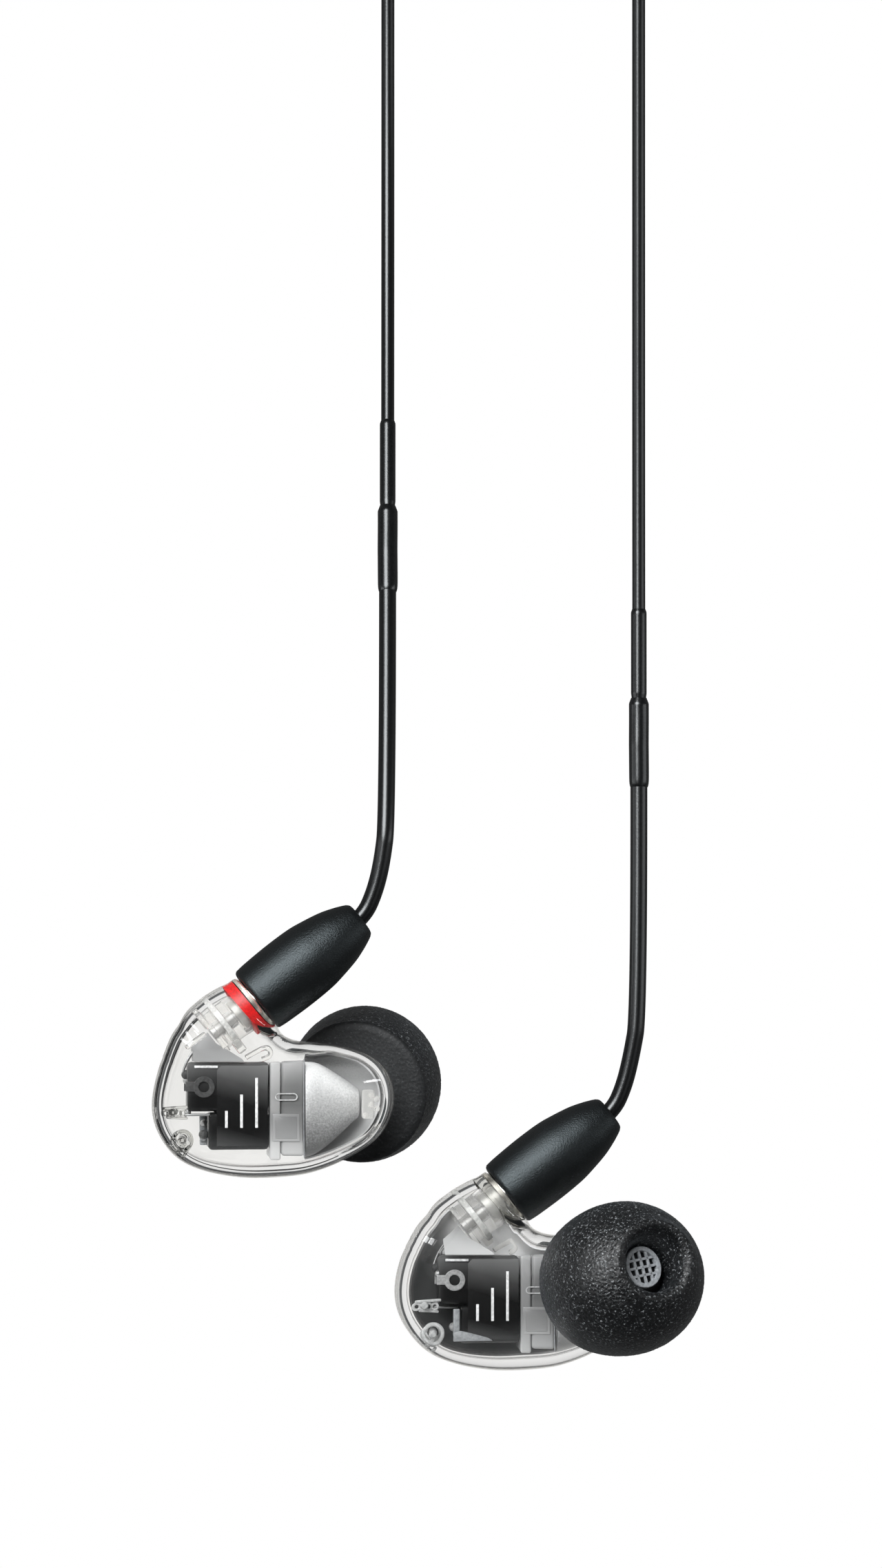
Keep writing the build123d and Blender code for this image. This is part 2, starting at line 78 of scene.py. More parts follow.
# ------------------------------------------------------------------ camera
VIEW_HEIGHT = 137.94
VIEW_MIDDLE = (1.14, 30.97)
CAMERA_DISTANCE = 2.0
SENSOR = 36.0

camera_data = bpy.data.cameras.new("camera")
camera = bpy.data.objects.new("camera", camera_data)
bpy.context.scene.collection.objects.link(camera)
camera_data.sensor_fit = "VERTICAL"
camera_data.sensor_height = SENSOR
camera_data.lens = SENSOR * CAMERA_DISTANCE / (VIEW_HEIGHT * MM)
camera_data.clip_end = 20
camera.location = (VIEW_MIDDLE[0] * MM, VIEW_MIDDLE[1] * MM, CAMERA_DISTANCE)
bpy.context.scene.camera = camera


# ------------------------------------------------------------------ materials
def material(name, base, rough=0.5, **sockets):
    """A principled material with these input values."""
    mat = bpy.data.materials.new(name)
    mat.use_nodes = True
    shader = mat.node_tree.nodes["Principled BSDF"]
    shader.inputs["Base Color"].default_value = (*base, 1)
    shader.inputs["Roughness"].default_value = rough
    for socket, value in sockets.items():
        shader.inputs[socket.replace("_", " ")].default_value = value
    return mat


def join(owner, source, target):
    owner.node_tree.links.new(source, target)


def node(owner, kind, *feeds, **settings):
    """Adds a node to a material or world. Feeds are outputs or values for its inputs in order;
    settings are its properties or, where named as sockets, input values."""
    made = owner.node_tree.nodes.new(kind)
    for key, value in settings.items():
        if hasattr(made, key):
            setattr(made, key, value)
        else:
            made.inputs[key.replace("_", " ")].default_value = value
    for feed, socket in zip(feeds, made.inputs):
        if isinstance(feed, bpy.types.NodeSocket):
            join(owner, feed, socket)
        else:
            socket.default_value = feed
    return made


def local_place(mat):
    """The piece's own coordinates."""
    return node(mat, "ShaderNodeTexCoord").outputs["Object"]


def noise(mat, scale, detail=2.0, roughness=0.5):
    """Noise in the piece's own coordinates, scale in cycles per millimetre."""
    made = node(
        mat, "ShaderNodeTexNoise", local_place(mat), Scale=scale / MM, Detail=detail, Roughness=roughness
    )
    return made.outputs["Fac"]


def add_bump(mat, source, strength, distance):
    """Bump from a height output, distance in millimetres."""
    bump = node(mat, "ShaderNodeBump", Strength=strength, Distance=distance * MM)
    join(mat, source, bump.inputs["Height"])
    join(mat, bump.outputs["Normal"], mat.node_tree.nodes["Principled BSDF"].inputs["Normal"])


def ramp(owner, source, *stops):
    """Colour ramp over (position, (r, g, b)) stops."""
    made = node(owner, "ShaderNodeValToRGB", source)
    elements = made.color_ramp.elements
    while len(elements) < len(stops):
        elements.new(1.0)
    for element, (position, colour) in zip(elements, stops):
        element.position = position
        element.color = (*colour, 1)
    return made.outputs["Color"]


def tint(mat, source, *stops):
    """Drives the base colour by a ramp."""
    join(mat, ramp(mat, source, *stops), mat.node_tree.nodes["Principled BSDF"].inputs["Base Color"])


def soft_touch(name, level, rough, depth, grain=5.5, cool=1.0):
    """Fine-grained satin black plastic or rubber."""
    mat = material(
        name, (level, level * 1.03, level * 1.08), rough, Specular_IOR_Level=0.72,
        Specular_Tint=(1 - 0.16 * cool, 1 - 0.04 * cool, 1.0, 1.0),
    )
    speck = noise(mat, grain, 3.0, 0.65)
    low = (level * 0.5, level * 0.52, level * 0.55)
    high = (level * 1.9, level * 2.0, level * 2.1)
    tint(mat, speck, (0.35, low), (0.7, high))
    add_bump(mat, speck, 0.6, depth)
    return mat


def foam_material(name, base, pore_glint, rough, contrast, relief):
    """Charcoal foam: black with open pores, and painted highlights where some pores catch the light."""
    cool = np.array([1, 1.12, 1.22])
    mat = material(
        name, tuple(base * cool), rough, Sheen_Weight=0.06, Sheen_Roughness=0.4,
        Sheen_Tint=(0.5, 0.58, 0.65, 1.0), Specular_IOR_Level=0.6,
    )
    cells = node(mat, "ShaderNodeTexVoronoi", local_place(mat), Scale=3.4 / MM)
    speck = noise(mat, 4.6, 4.0, 0.8)
    height = node(mat, "ShaderNodeMath", cells.outputs["Distance"], speck, operation="MULTIPLY")
    tint(
        mat, speck, (0.36, tuple(base * (1 - 0.6 * contrast) * cool)), (0.52, tuple(base * cool)),
        (0.59, tuple(base * (1 + contrast) * cool)),
        (0.64, tuple(pore_glint * share for share in (0.92, 0.97, 1.0))),
    )
    add_bump(mat, height.outputs[0], 1.0, relief)
    return mat


def clear_plastic(name, colour, rough=0.0, clarity=1.0, soft_edge=0.0):
    """Moulded clear plastic that lamps shine through. Less clarity makes it milky, and a soft edge
    fades its steepest parts."""
    mat = material(
        name, colour, rough, Transmission_Weight=clarity, IOR=1.49, Specular_IOR_Level=0.2
    )
    seen = mat.node_tree.nodes["Principled BSDF"].outputs[0]
    if soft_edge:
        facing = node(mat, "ShaderNodeLayerWeight", Blend=0.5)
        ease = node(
            mat, "ShaderNodeMapRange", facing.outputs["Facing"], From_Min=0.62, To_Max=soft_edge
        )
        veil = node(mat, "ShaderNodeBsdfTransparent", Color=(0.965, 0.962, 0.95, 1))
        fade = node(mat, "ShaderNodeMixShader", ease.outputs["Result"], seen, veil.outputs[0])
        seen = fade.outputs[0]
    path = node(mat, "ShaderNodeLightPath")
    clear = node(mat, "ShaderNodeBsdfTransparent")
    mix = node(mat, "ShaderNodeMixShader", path.outputs["Is Shadow Ray"], seen, clear.outputs[0])
    join(mat, mix.outputs[0], mat.node_tree.nodes["Material Output"].inputs["Surface"])
    return mat


def metal(name, colour, rough):
    """Metal with a faint brushed relief."""
    mat = material(name, colour, rough, Metallic=1.0)
    add_bump(mat, noise(mat, 3.0), 0.15, 0.01)
    return mat


def plain(name, colour, rough, grain=4.0, depth=0.01, **sockets):
    """Moulded plastic with a faint mottle and grain."""
    mat = material(name, colour, rough, **sockets)
    mottle = noise(mat, grain)
    low = tuple(0.75 * c for c in colour)
    high = tuple(min(1, 1.25 * c) for c in colour)
    tint(mat, mottle, (0.3, low), (0.7, high))
    add_bump(mat, mottle, 0.3, depth)
    return mat


def painted_light_grade(name, side, low, high, *stops, rough=0.3, grain=0.0, relief=0.01, **sockets):
    """Plastic or metal with painted light and shade: its grey level runs along a line between two local XY
    points.
    """
    mat = material(side.label(name), (0.5, 0.5, 0.5), rough, **sockets)
    start, end = (Vector(side.put([(*point, 0)])[0] * MM) for point in (low, high))
    run = (end - start) / (end - start).length_squared
    dot = node(mat, "ShaderNodeVectorMath", local_place(mat), run, operation="DOT_PRODUCT")
    shift = node(mat, "ShaderNodeMath", dot.outputs["Value"], start.dot(run), operation="SUBTRACT")
    along = shift.outputs[0]
    speck = noise(mat, 6.0, 3.0, 0.7)
    if grain:
        along = node(mat, "ShaderNodeMath", speck, grain, along, operation="MULTIPLY_ADD").outputs[0]
    tint(mat, along, *((position, (level,) * 3) for position, level in stops))
    add_bump(mat, speck, 0.5, relief)
    return mat


CLEAR = clear_plastic("clear shell", (0.965, 0.962, 0.95), soft_edge=0.96)
CLEAR_INNER = clear_plastic("clear inner moulding", (0.86, 0.86, 0.84), 0.02)
MILKY = clear_plastic("milky moulding", (0.91, 0.9, 0.88), 0.06, clarity=0.9)
# The left pegs are pale grey, a painted highlight; the right ones stay clear.
PEGS = {
    "right": CLEAR_INNER,
    "left": plain("bright pegs", (0.8, 0.81, 0.8), 0.18, Transmission_Weight=0.5),
}
RED = plain("red ring", (0.62, 0.006, 0.006), 0.35)
BARREL = soft_touch("barrel black", 0.0015, 0.4, 0.07, 7.0)
CABLE = soft_touch("cable black", 0.003, 0.28, 0.01, cool=0.2)
SLEEVE = soft_touch("sleeve black", 0.004, 0.26, 0.008, cool=0.2)
FOAM = foam_material("foam", 0.0045, 0.5, 0.34, 1.0, 0.09)
FOAM_CUT = foam_material("cut foam", 0.009, 0.06, 0.6, 0.3, 0.05)
GOLD = metal("gold", (0.85, 0.62, 0.32), 0.25)
STEEL = metal("steel", (0.62, 0.62, 0.6), 0.28)
RIM = metal("rim", (0.72, 0.69, 0.62), 0.25)
WHITE = plain("printed white", (0.85, 0.85, 0.85), 0.6)
# Pale grey painted as a highlight, for the strip along the drivers' top edges.
GLINT = plain("painted edge glint", (0.75, 0.75, 0.75), 0.2)
SOLDER = metal("solder", (0.55, 0.55, 0.55), 0.35)
GREY = plain("grey moulding", (0.28, 0.29, 0.3), 0.35)
SCREEN = plain("screen grey", (0.44, 0.46, 0.48), 0.4)
CORE = plain("tip core", (0.012, 0.012, 0.014), 0.6)
GASKET = plain("gasket", (0.02, 0.02, 0.02), 0.5)
TIE = plain("tie", (0.02, 0.02, 0.022), 0.8, grain=6.0, depth=0.06)


# ------------------------------------------------------------------ mesh helpers
def piece(name, points, faces, mat, smooth_angle):
    """A mesh object from millimetre points in the row frame."""
    mesh = bpy.data.meshes.new(name)
    mesh.from_pydata([tuple(p) for p in np.asarray(points) * MM], [], faces)
    mesh.validate()
    mesh.shade_smooth()
    mesh.set_sharp_from_angle(angle=math.radians(smooth_angle))
    mesh.materials.append(mat)
    made = bpy.data.objects.new(name, mesh)
    bpy.context.scene.collection.objects.link(made)
    return made


def face_out(made):
    """Turns a closed piece's faces outwards."""
    work = bmesh.new()
    work.from_mesh(made.data)
    bmesh.ops.remove_doubles(work, verts=work.verts, dist=1e-7)
    bmesh.ops.recalc_face_normals(work, faces=work.faces)
    work.to_mesh(made.data)
    work.free()
    return made


def solid(name, points, faces, mat, side=None, smooth_angle=40.0):
    """A closed piece. With a side, its points are local and its name gets the side's."""
    if side:
        name, points = side.label(name), side.put(points)
    return face_out(piece(name, points, faces, mat, smooth_angle))


def round_edges(made, width):
    """Bevels a piece's edges, width in millimetres."""
    rounding = made.modifiers.new("round", "BEVEL")
    rounding.width = width * MM
    rounding.segments = 2


def settle(made, body, slot, *nodes):
    """Puts a piece on the body it rides and hides the CAD nodes it replaces; its slot is not used."""
    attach(made, body)
    if nodes:
        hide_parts(*nodes)


def turns_round(count):
    """Evenly spaced angles of one full turn."""
    return np.arange(count) * 2 * math.pi / count


def grid_faces(rows, columns, closed_rows=False):
    """Quads of a rows by columns grid, columns closed into a ring."""
    faces = []
    for row in range(rows if closed_rows else rows - 1):
        above = (row + 1) % rows
        for column in range(columns):
            after = (column + 1) % columns
            faces.append((
                row * columns + column, row * columns + after,
                above * columns + after, above * columns + column,
            ))
    return faces


def tube_faces(rows, count):
    """Faces of a tube of rings with a cap at both ends."""
    last = (rows - 1) * count
    return grid_faces(rows, count) + [tuple(range(count)), tuple(range(last, last + count))]


def smooth_profile(points, steps):
    """Catmull-Rom curve through profile points."""
    p = np.asarray(points, float)
    p = np.vstack([2 * p[0] - p[1], p, 2 * p[-1] - p[-2]])
    line = []
    for a, b, c, d in zip(p, p[1:], p[2:], p[3:]):
        for t in np.arange(steps) / steps:
            line.append(
                0.5 * (2 * b + (c - a) * t + (2 * a - 5 * b + 4 * c - d) * t**2
                       + (3 * b - a - 3 * c + d) * t**3)
            )
    line.append(p[-2])
    return np.array(line)


def lathe_points(profile, origin, axis, count):
    """Rings of points for (along, radius) pairs round an axis."""
    axis = np.asarray(axis) / np.linalg.norm(axis)
    across = np.cross(axis, [0, 0, 1.0] if abs(axis[2]) < 0.99 else [0, 1.0, 0])
    across /= np.linalg.norm(across)
    up = np.cross(axis, across)
    turns = turns_round(count)
    rings = []
    for along, radius in profile:
        ring = np.outer(np.cos(turns) * radius, across) + np.outer(np.sin(turns) * radius, up)
        rings.append(np.asarray(origin) + axis * along + ring)
    return np.vstack(rings)


def lathe(name, profile, origin, axis, mat, side=None, count=72, closed=False):
    """A turned piece, local to a side if given. A closed profile makes a ring, an open one is capped."""
    points = lathe_points(profile, origin, axis, count)
    rows = len(profile)
    faces = grid_faces(rows, count, closed_rows=True) if closed else tube_faces(rows, count)
    return solid(name, points, faces, mat, side)


def rounded(name, work, mat, side, radius, steps=3):
    """Bevels every edge of a bmesh in local millimetres and places it on a side."""
    bmesh.ops.bevel(
        work, geom=work.edges[:], offset=radius, segments=steps, profile=0.5, affect="EDGES"
    )
    points = np.array([tuple(vertex.co) for vertex in work.verts])
    work.verts.index_update()
    faces = [tuple(vertex.index for vertex in face.verts) for face in work.faces]
    work.free()
    return solid(name, points, faces, mat, side)


def block(name, low, high, mat, side, radius, turn=0.0):
    """A rounded block between two local corners, turned about its own middle in the XY plane."""
    low, high = Vector(low), Vector(high)
    work = bmesh.new()
    bmesh.ops.create_cube(work, size=1.0)
    spin = Matrix.Rotation(math.radians(turn), 3, "Z")
    for vertex in work.verts:
        vertex.co = spin @ (vertex.co * (high - low)) + (low + high) / 2
    return rounded(name, work, mat, side, radius)


def plate(name, outline, bottom, top, mat, side, radius):
    """A rounded plate over a local XY outline."""
    work = bmesh.new()
    corners = [work.verts.new((x, y, bottom)) for x, y in outline]
    face = work.faces.new(corners)
    raised = bmesh.ops.extrude_face_region(work, geom=[face])["geom"]
    for item in raised:
        if isinstance(item, bmesh.types.BMVert):
            item.co.z = top
    return rounded(name, work, mat, side, radius, 2)


def disc_piece(name, profile, middle, mat, side, count):
    """A small turned piece standing on local Z at a point."""
    return lathe(name, profile, middle, (0, 0, 1), mat, side, count)


def ring_piece(name, inner, outer, low, high, middle, mat, side, count=40):
    """A flat ring with eased edges standing on local Z."""
    ease = 0.25 * min(outer - inner, high - low)
    profile = [
        (low, inner + ease), (low, outer - ease), (low + ease, outer), (high - ease, outer),
        (high, outer - ease), (high, inner + ease), (high - ease, inner), (low + ease, inner),
    ]
    return lathe(name, profile, (*middle, 0), (0, 0, 1), mat, side, count, closed=True)


def spline(points, steps):
    """Clamped quadratic B-spline of control points, as fine line."""
    p = np.asarray(points, float)
    last = len(p) - 1
    line = []
    for i in range(1, last):
        start = p[0] if i == 1 else (p[i - 1] + p[i]) / 2
        end = p[last] if i == last - 1 else (p[i] + p[i + 1]) / 2
        for t in np.arange(steps) / steps:
            line.append((1 - t) ** 2 * start + 2 * t * (1 - t) * p[i] + t**2 * end)
    line.append(p[last])
    return np.array(line)


def sweep(name, line, radius, mat, count=32):
    """A tube along a fine line; radius is a number or a function of the length so far."""
    line = np.asarray(line, float)
    run = np.gradient(line, axis=0)
    run /= np.linalg.norm(run, axis=1)[:, None]
    so_far = np.concatenate([[0], np.cumsum(np.linalg.norm(np.diff(line, axis=0), axis=1))])
    guide = np.array([0, 0, 1.0]) if abs(run[0][2]) < 0.9 else np.array([1.0, 0, 0])
    across = np.cross(run[0], guide)
    across /= np.linalg.norm(across)
    turns = turns_round(count)
    rings = []
    for here, along, length in zip(line, run, so_far):
        across = across - along * across.dot(along)
        across /= np.linalg.norm(across)
        up = np.cross(along, across)
        reach = radius(length, turns) if callable(radius) else radius
        rings.append(
            here + np.outer(np.cos(turns) * reach, across) + np.outer(np.sin(turns) * reach, up)
        )
    return solid(name, np.vstack(rings), tube_faces(len(line), count), mat)


# ------------------------------------------------------------------ the two earphones' frames
class Side:
    """Local millimetres of one earphone, as in the CAD, to the row frame."""

    def __init__(self, name, sign):
        self.name = name
        self.sign = sign
        joint = JOINTS[f"{name}_swivel"]
        self.at = np.array(joint["pos_m"]) / MM
        axis = joint["axis"]
        lean = math.atan2(-axis[2], axis[0])
        self.turn = np.array(
            [[math.cos(lean), 0, math.sin(lean)], [0, 1, 0], [-math.sin(lean), 0, math.cos(lean)]]
        )

    def put(self, points):
        p = np.asarray(points, float) * [1, 1, self.sign]
        return self.at + p @ self.turn.T

    def label(self, words):
        return f"{self.name}_{words}"


SIDES = [Side("right", 1), Side("left", -1)]
BARREL_AXIS = np.array([math.cos(BARREL_ANGLE), math.sin(BARREL_ANGLE), 0])
NOZZLE_AXIS = np.array([
    math.sin(NOZZLE_TILT) * math.cos(NOZZLE_TURN), math.sin(NOZZLE_TILT) * math.sin(NOZZLE_TURN),
    -math.cos(NOZZLE_TILT),
])


# ------------------------------------------------------------------ cords
def coil_turns(middle, radius, pitch, base, plan, turns, way=1):
    """Control points of a coil; plan lists each turn's (column, layer); way -1 mirrors it in X."""
    per_turn = 16
    swell = 1 / math.cos(math.pi / per_turn)
    points = []
    for step in range(int(turns * per_turn) + 1):
        turn, part = divmod(step / per_turn, 1)
        now = plan[min(int(turn), len(plan) - 1)]
        after = plan[min(int(turn) + 1, len(plan) - 1)]
        share = max(0.0, (part - 0.6) / 0.4)
        column = now[0] + (after[0] - now[0]) * share
        layer = now[1] + (after[1] - now[1]) * share
        angle = 2 * math.pi * part
        reach = (radius + column * pitch) * swell
        points.append((
            middle[0] + way * reach * math.cos(angle), middle[1] + reach * math.sin(angle),
            base + layer * pitch,
        ))
    return points


def cord_curve(name, route, radius, mat):
    """A smooth curve with the route's points, in millimetres, as control points."""
    data = bpy.data.curves.new(name, "CURVE")
    data.dimensions = "3D"
    data.bevel_depth = radius * MM
    data.bevel_resolution = 6
    data.resolution_u = 6
    data.use_fill_caps = True
    line = data.splines.new("NURBS")
    line.points.add(len(route) - 1)
    for point, place in zip(line.points, route):
        point.co = (*(c * MM for c in place), 1)
    line.order_u = 3
    line.use_endpoint_u = True
    data.materials.append(mat)
    made = bpy.data.objects.new(name, data)
    bpy.context.scene.collection.objects.link(made)
    return made


CABLE_X = {"right": -3.53, "left": 18.52}
DROP = {"right": 6.0, "left": 1.5}
FORMED_RUN = 19.8
SLEEVE_LENGTH = 7.85
COIL_REACH = 2.67  # how far from the tangent point a branch meets its coil's solid
BRANCH_PLAN = [(1, 0), (0, 0), (-1, 0), (-1, 1), (0, 1), (1, 1), (1, 2)]
MAIN_PLAN = [
    (1, 0), (0, 0), (-1, 0), (-1, 1), (0, 1), (1, 1), (1, 2), (0, 2), (-1, 2), (-1, 3), (0, 3), (1, 3),
]
FREE_RUN = {
    "right": [(84.5, 1.45), (96.0, 0.7), (COIL_Y - COIL_REACH, 0.6)],
    "left": [(74.0, 0.66), (91.0, 0.6), (COIL_Y - COIL_REACH, 0.62)],
}
FIRST_RUN = {"right": 10.5, "left": 13.0}


def sleeve_lumps(length, turns):
    """Heat-shrunk lower sleeve: steps and lumps from what is inside it."""
    body = 0.875 * (1 - 0.12 * math.exp(-length / 0.25))
    body -= 0.19 * max(0.0, (length - SLEEVE_LENGTH + 0.5) / 0.5)
    waves = 0.015 * math.sin(1.1 * length + 1) + 0.02 / (1 + math.exp(6 * (length - 3.4)))
    return body + waves * np.cos(turns - 1.1)


def branch_pieces(side):
    """Formed wire, shrink sleeves and the free cord of one side."""
    x = CABLE_X[side.name]
    start, bend = (side.put([BARREL_AXIS * along])[0] for along in (10.2, 12.0))
    bx, by, bz = bend
    straight = np.array([x, by + 8.6, bz])
    end = straight + [0, FORMED_RUN, -DROP[side.name]]
    wire = [start, bend, (bx + 0.95, by + 2.1, bz), (bx + 1.6, by + 4.7, bz), straight, end]
    run = end - straight
    run /= np.linalg.norm(run)
    formed = sweep(side.label("formed_cable"), spline(wire, 14), FORMED_RADIUS, CABLE)
    steps = np.linspace(0, SLEEVE_LENGTH, 60)
    lower = sweep(side.label("shrink_lower"), [end + run * s for s in steps], sleeve_lumps, SLEEVE, 48)
    top = end + run * SLEEVE_LENGTH

    def taper(length, _turns):
        ease = min(1.0, length / 0.4) * 0.05
        return 0.64 + ease - 0.11 * max(0.0, (length - SLEEVE_LENGTH + 0.3) / 0.3)

    upper = sweep(side.label("shrink_upper"), [top + run * s for s in steps], taper, SLEEVE, 40)
    exit_point = end + run * 2 * SLEEVE_LENGTH
    way = 1 if side.name == "right" else -1
    top_height = BRANCH_RADIUS + 2 * BRANCH_PITCH
    pair = PAIR_X - way * PAIR_HALF
    route = [exit_point, exit_point + run * FIRST_RUN[side.name]]
    route += [(x, *point) for point in FREE_RUN[side.name]]
    middle = (x - BRANCH_MIDDLE - BRANCH_PITCH, COIL_Y)
    route += coil_turns(middle, BRANCH_MIDDLE, BRANCH_PITCH, 0.6, BRANCH_PLAN, 7)
    route += [
        (x, COIL_Y + COIL_REACH, top_height), (x + way * 0.8, 119.2, 2.1),
        (x + way * 4.0, 124.4, 1.2), (x + way * 8.4, 128.2, 1.1), (pair, 133.0, PAIR_HEIGHT),
        (pair + 0.01, 140.5, PAIR_HEIGHT), (pair, 148.5, PAIR_HEIGHT),
    ]
    cord = cord_curve(side.label("branch"), route, BRANCH_RADIUS, CABLE)
    height = 2 * BRANCH_PITCH + 1.2
    tie = wrap(side.label("coil_tie"), middle, BRANCH_MIDDLE, BRANCH_PITCH + 0.7, height)
    for made, slot, *nodes in (
        (formed, "cable_black", "formed_wire"), (lower, "sleeve_black", "lower_sleeve"),
        (upper, "sleeve_black", "upper_sleeve"), (tie, "tie_black"),
        (cord, "cable_black", "branch_cord", "branch_tail", "branch_coil"),
    ):
        settle(made, "cables", slot, *(side.label(part) for part in nodes))


def wrap(name, middle, radius, half, height, width=2.6, thick=0.35):
    """A strap round a coil's turns at its far side."""
    corners = [(-half, 0.05), (half, 0.05), (half, height), (-half, height)]
    loop = []
    for sign, out in ((1, 0.0), (-1, thick)):
        for y, z in corners:
            for edge in (-width / 2, width / 2):
                loop.append((edge, y + math.copysign(out, y), z + (out if z > 1 else 0)))
    points = np.array(loop) + [middle[0], middle[1] + radius, 0]
    faces = []
    for k in range(4):
        a, b = 2 * k, 2 * ((k + 1) % 4)
        faces.append((a, b, b + 1, a + 1))
        faces.append((8 + a, 8 + a + 1, 8 + b + 1, 8 + b))
        faces.append((a, 8 + a, 8 + b, b))
        faces.append((a + 1, b + 1, 8 + b + 1, 8 + a + 1))
    made = solid(name, points, faces, TIE)
    round_edges(made, 0.12)
    return made


for earphone in SIDES:
    branch_pieces(earphone)


PLUG_AT = np.array([31.6, 150.0, 2.92])
SPLIT_END = 155.5
LEAD_DROP = 4.84  # from the main coil's middle down to where its turns begin and end


def main_cord():
    """Y-split to plug: one cord with its coil, and what is on it."""
    outer = MAIN_MIDDLE + MAIN_PITCH
    middle = (PAIR_X + outer, MAIN_COIL_Y)
    mouth = MAIN_COIL_Y - LEAD_DROP
    start = (PAIR_X, SPLIT_END, PAIR_HEIGHT)
    east = middle[0] + outer
    plug_x, plug_y, plug_z = PLUG_AT
    route = [start, (PAIR_X, 160.0, PAIR_HEIGHT), (PAIR_X, mouth, 1.1)]
    route += coil_turns(middle, MAIN_MIDDLE, MAIN_PITCH, 1.0, MAIN_PLAN, 11.5, -1)
    route += [
        (east, mouth, 1 + 3 * MAIN_PITCH), (east, 162.0, 6.0), (east - 0.7, 157.6, 3.9),
        (plug_x, 153.6, plug_z), (plug_x, plug_y, plug_z),
    ]
    cord = cord_curve("main_cord", route, MAIN_RADIUS, CABLE)
    ribs = [
        (0.55 * rib + part, 1.2 + 0.055 * rib - dip)
        for rib in range(9) for part, dip in ((0.05, 0), (0.35, 0), (0.4, 0.22), (0.55, 0.22))
    ]
    relief = lathe(
        "plug_strain_relief", [(0, 1.02), *ribs, (5.5, 1.75)], PLUG_AT, (0, -1, 0), SLEEVE
    )
    grooves = [(z, 2.88 - 0.14 * (k % 4 in (1, 2))) for k, z in enumerate(np.linspace(9, 15, 29))]
    profile = np.vstack([
        [(5.4, 1.6)], smooth_profile([(5.5, 2.2), (5.9, 2.7), (6.6, 2.87), (8, 2.88)], 4), grooves,
        smooth_profile([(15.4, 2.88), (16.3, 2.87), (16.8, 2.7), (17.0, 2.4)], 4), [(17.02, 1.2)],
    ])
    grip = lathe("plug_body", profile, PLUG_AT, (0, -1, 0), BARREL)
    split = slot_body(
        "cable_split",
        [(148.5, 4.2, 2.5), (148.7, 4.7, 2.9), (149.2, 4.8, 3.0), (151.5, 4.5, 2.95),
         (153.5, 3.7, 2.85), (155.0, 3.0, 2.65), (155.4, 2.8, 2.5), (SPLIT_END, 2.4, 2.2)],
        BARREL,
    )
    tie = wrap("main_coil_tie", middle, MAIN_MIDDLE, MAIN_PITCH + 1.2, 8.2, 5.0, 0.4)
    settle(cord, "cables", "cable_black", "main_lead", "main_tail", "main_coil")
    settle(relief, "cables", "sleeve_black", "plug_relief")
    settle(grip, "cables", "barrel_black", "plug_grip")
    settle(split, "cables", "barrel_black", "y_split")
    settle(tie, "cables", "tie_black", "coil_tie")
    contacts = [frame["nodes"][n] for n in ("plug_sleeve", "plug_ring", "plug_tip", "plug_spacer")]
    for contact in contacts:
        paint(contact, BARREL if contact.name == "plug_spacer" else GOLD)


def paint(made, mat):
    """Gives a CAD node's object a material."""
    made.data.materials.clear()
    made.data.materials.append(mat)


def slot_ring(width, height, middle, y, count=48):
    """One cross-section of a flat-sided slot outline."""
    turns = turns_round(count)
    half = (width - height) / 2
    across = np.cos(turns) * height / 2 + np.clip(np.cos(turns) * 3, -1, 1) * half
    return np.column_stack([
        middle[0] + across, np.full(count, y), middle[1] + np.sin(turns) * height / 2
    ])


def slot_body(name, sections, mat):
    """A body lofted through (y, width, height) slot sections on the pair of cables."""
    rings = [slot_ring(w, h, (PAIR_X, PAIR_HEIGHT), y) for y, w, h in sections]
    return solid(name, np.vstack(rings), tube_faces(len(rings), len(rings[0])), mat)


main_cord()
slider = slot_body(
    "chin_slider",
    [(135.0, 4.3, 2.3), (135.2, 4.8, 2.75), (135.7, 5.0, 2.9), (140.3, 5.0, 2.9),
     (140.8, 4.8, 2.75), (141.0, 4.3, 2.3)],
    BARREL,
)
settle(slider, "slider", "barrel_black", "neck_slider")


# ------------------------------------------------------------------ clear shell
MIDDLE = np.array([1.3, -8.6])
OUTLINE = [
    (-7.55, -3.1), (-8.65, -5.8), (-9.2, -8.5), (-8.95, -10.6), (-7.95, -12.5),
    (-6.5, -13.9), (-4.3, -14.82), (-1.3, -15.34), (1.8, -15.34), (4.8, -14.95), (7.8, -13.8),
    (10.55, -12.05), (11.8, -10.1), (12.15, -8.1), (11.6, -6.2), (10.2, -4.85), (7.8, -3.95),
    (5.4, -3.6), (2.9, -3.2), (0.2, -1.4), (-2.2, 0.6), (-4.0, 0.35), (-5.5, -0.8), (-6.55, -1.75),
]
# the two shells differ a little behind the drivers
REAR_SWELL = {"right": -0.02, "left": 0.062}
REAR_AT = math.radians(168)
REAR_WIDTH = math.radians(30)
OUTER_HEIGHT = 4.5
INNER_DEPTH = 5.3
WALL = 0.95
SEAM_GAP = 0.01
GASKET_INSET = 0.92
GASKET_HEIGHT = 1.7
BOSS_RADIUS = 2.72
BOSS_ROOT = 2.8
BOSS_DEPTH = 5.4
FUNNEL_MOUTH = 4.2


def outline_reach():
    """Angles and distances from the middle of the smooth outline."""
    loop = np.array(OUTLINE[-2:] + OUTLINE + OUTLINE[:2])
    line = smooth_profile(loop, 12) - MIDDLE
    angle = np.arctan2(line[:, 1], line[:, 0])
    order = np.argsort(angle)
    return angle[order], np.hypot(line[:, 0], line[:, 1])[order]


REACH_ANGLE, REACH = outline_reach()


def reach_at(angle):
    return np.interp(angle, REACH_ANGLE, REACH, period=2 * math.pi)


def soft_min(a, b, width):
    blend = np.clip(0.5 + 0.5 * (b - a) / width, 0, 1)
    return b + (a - b) * blend - width * blend * (1 - blend)


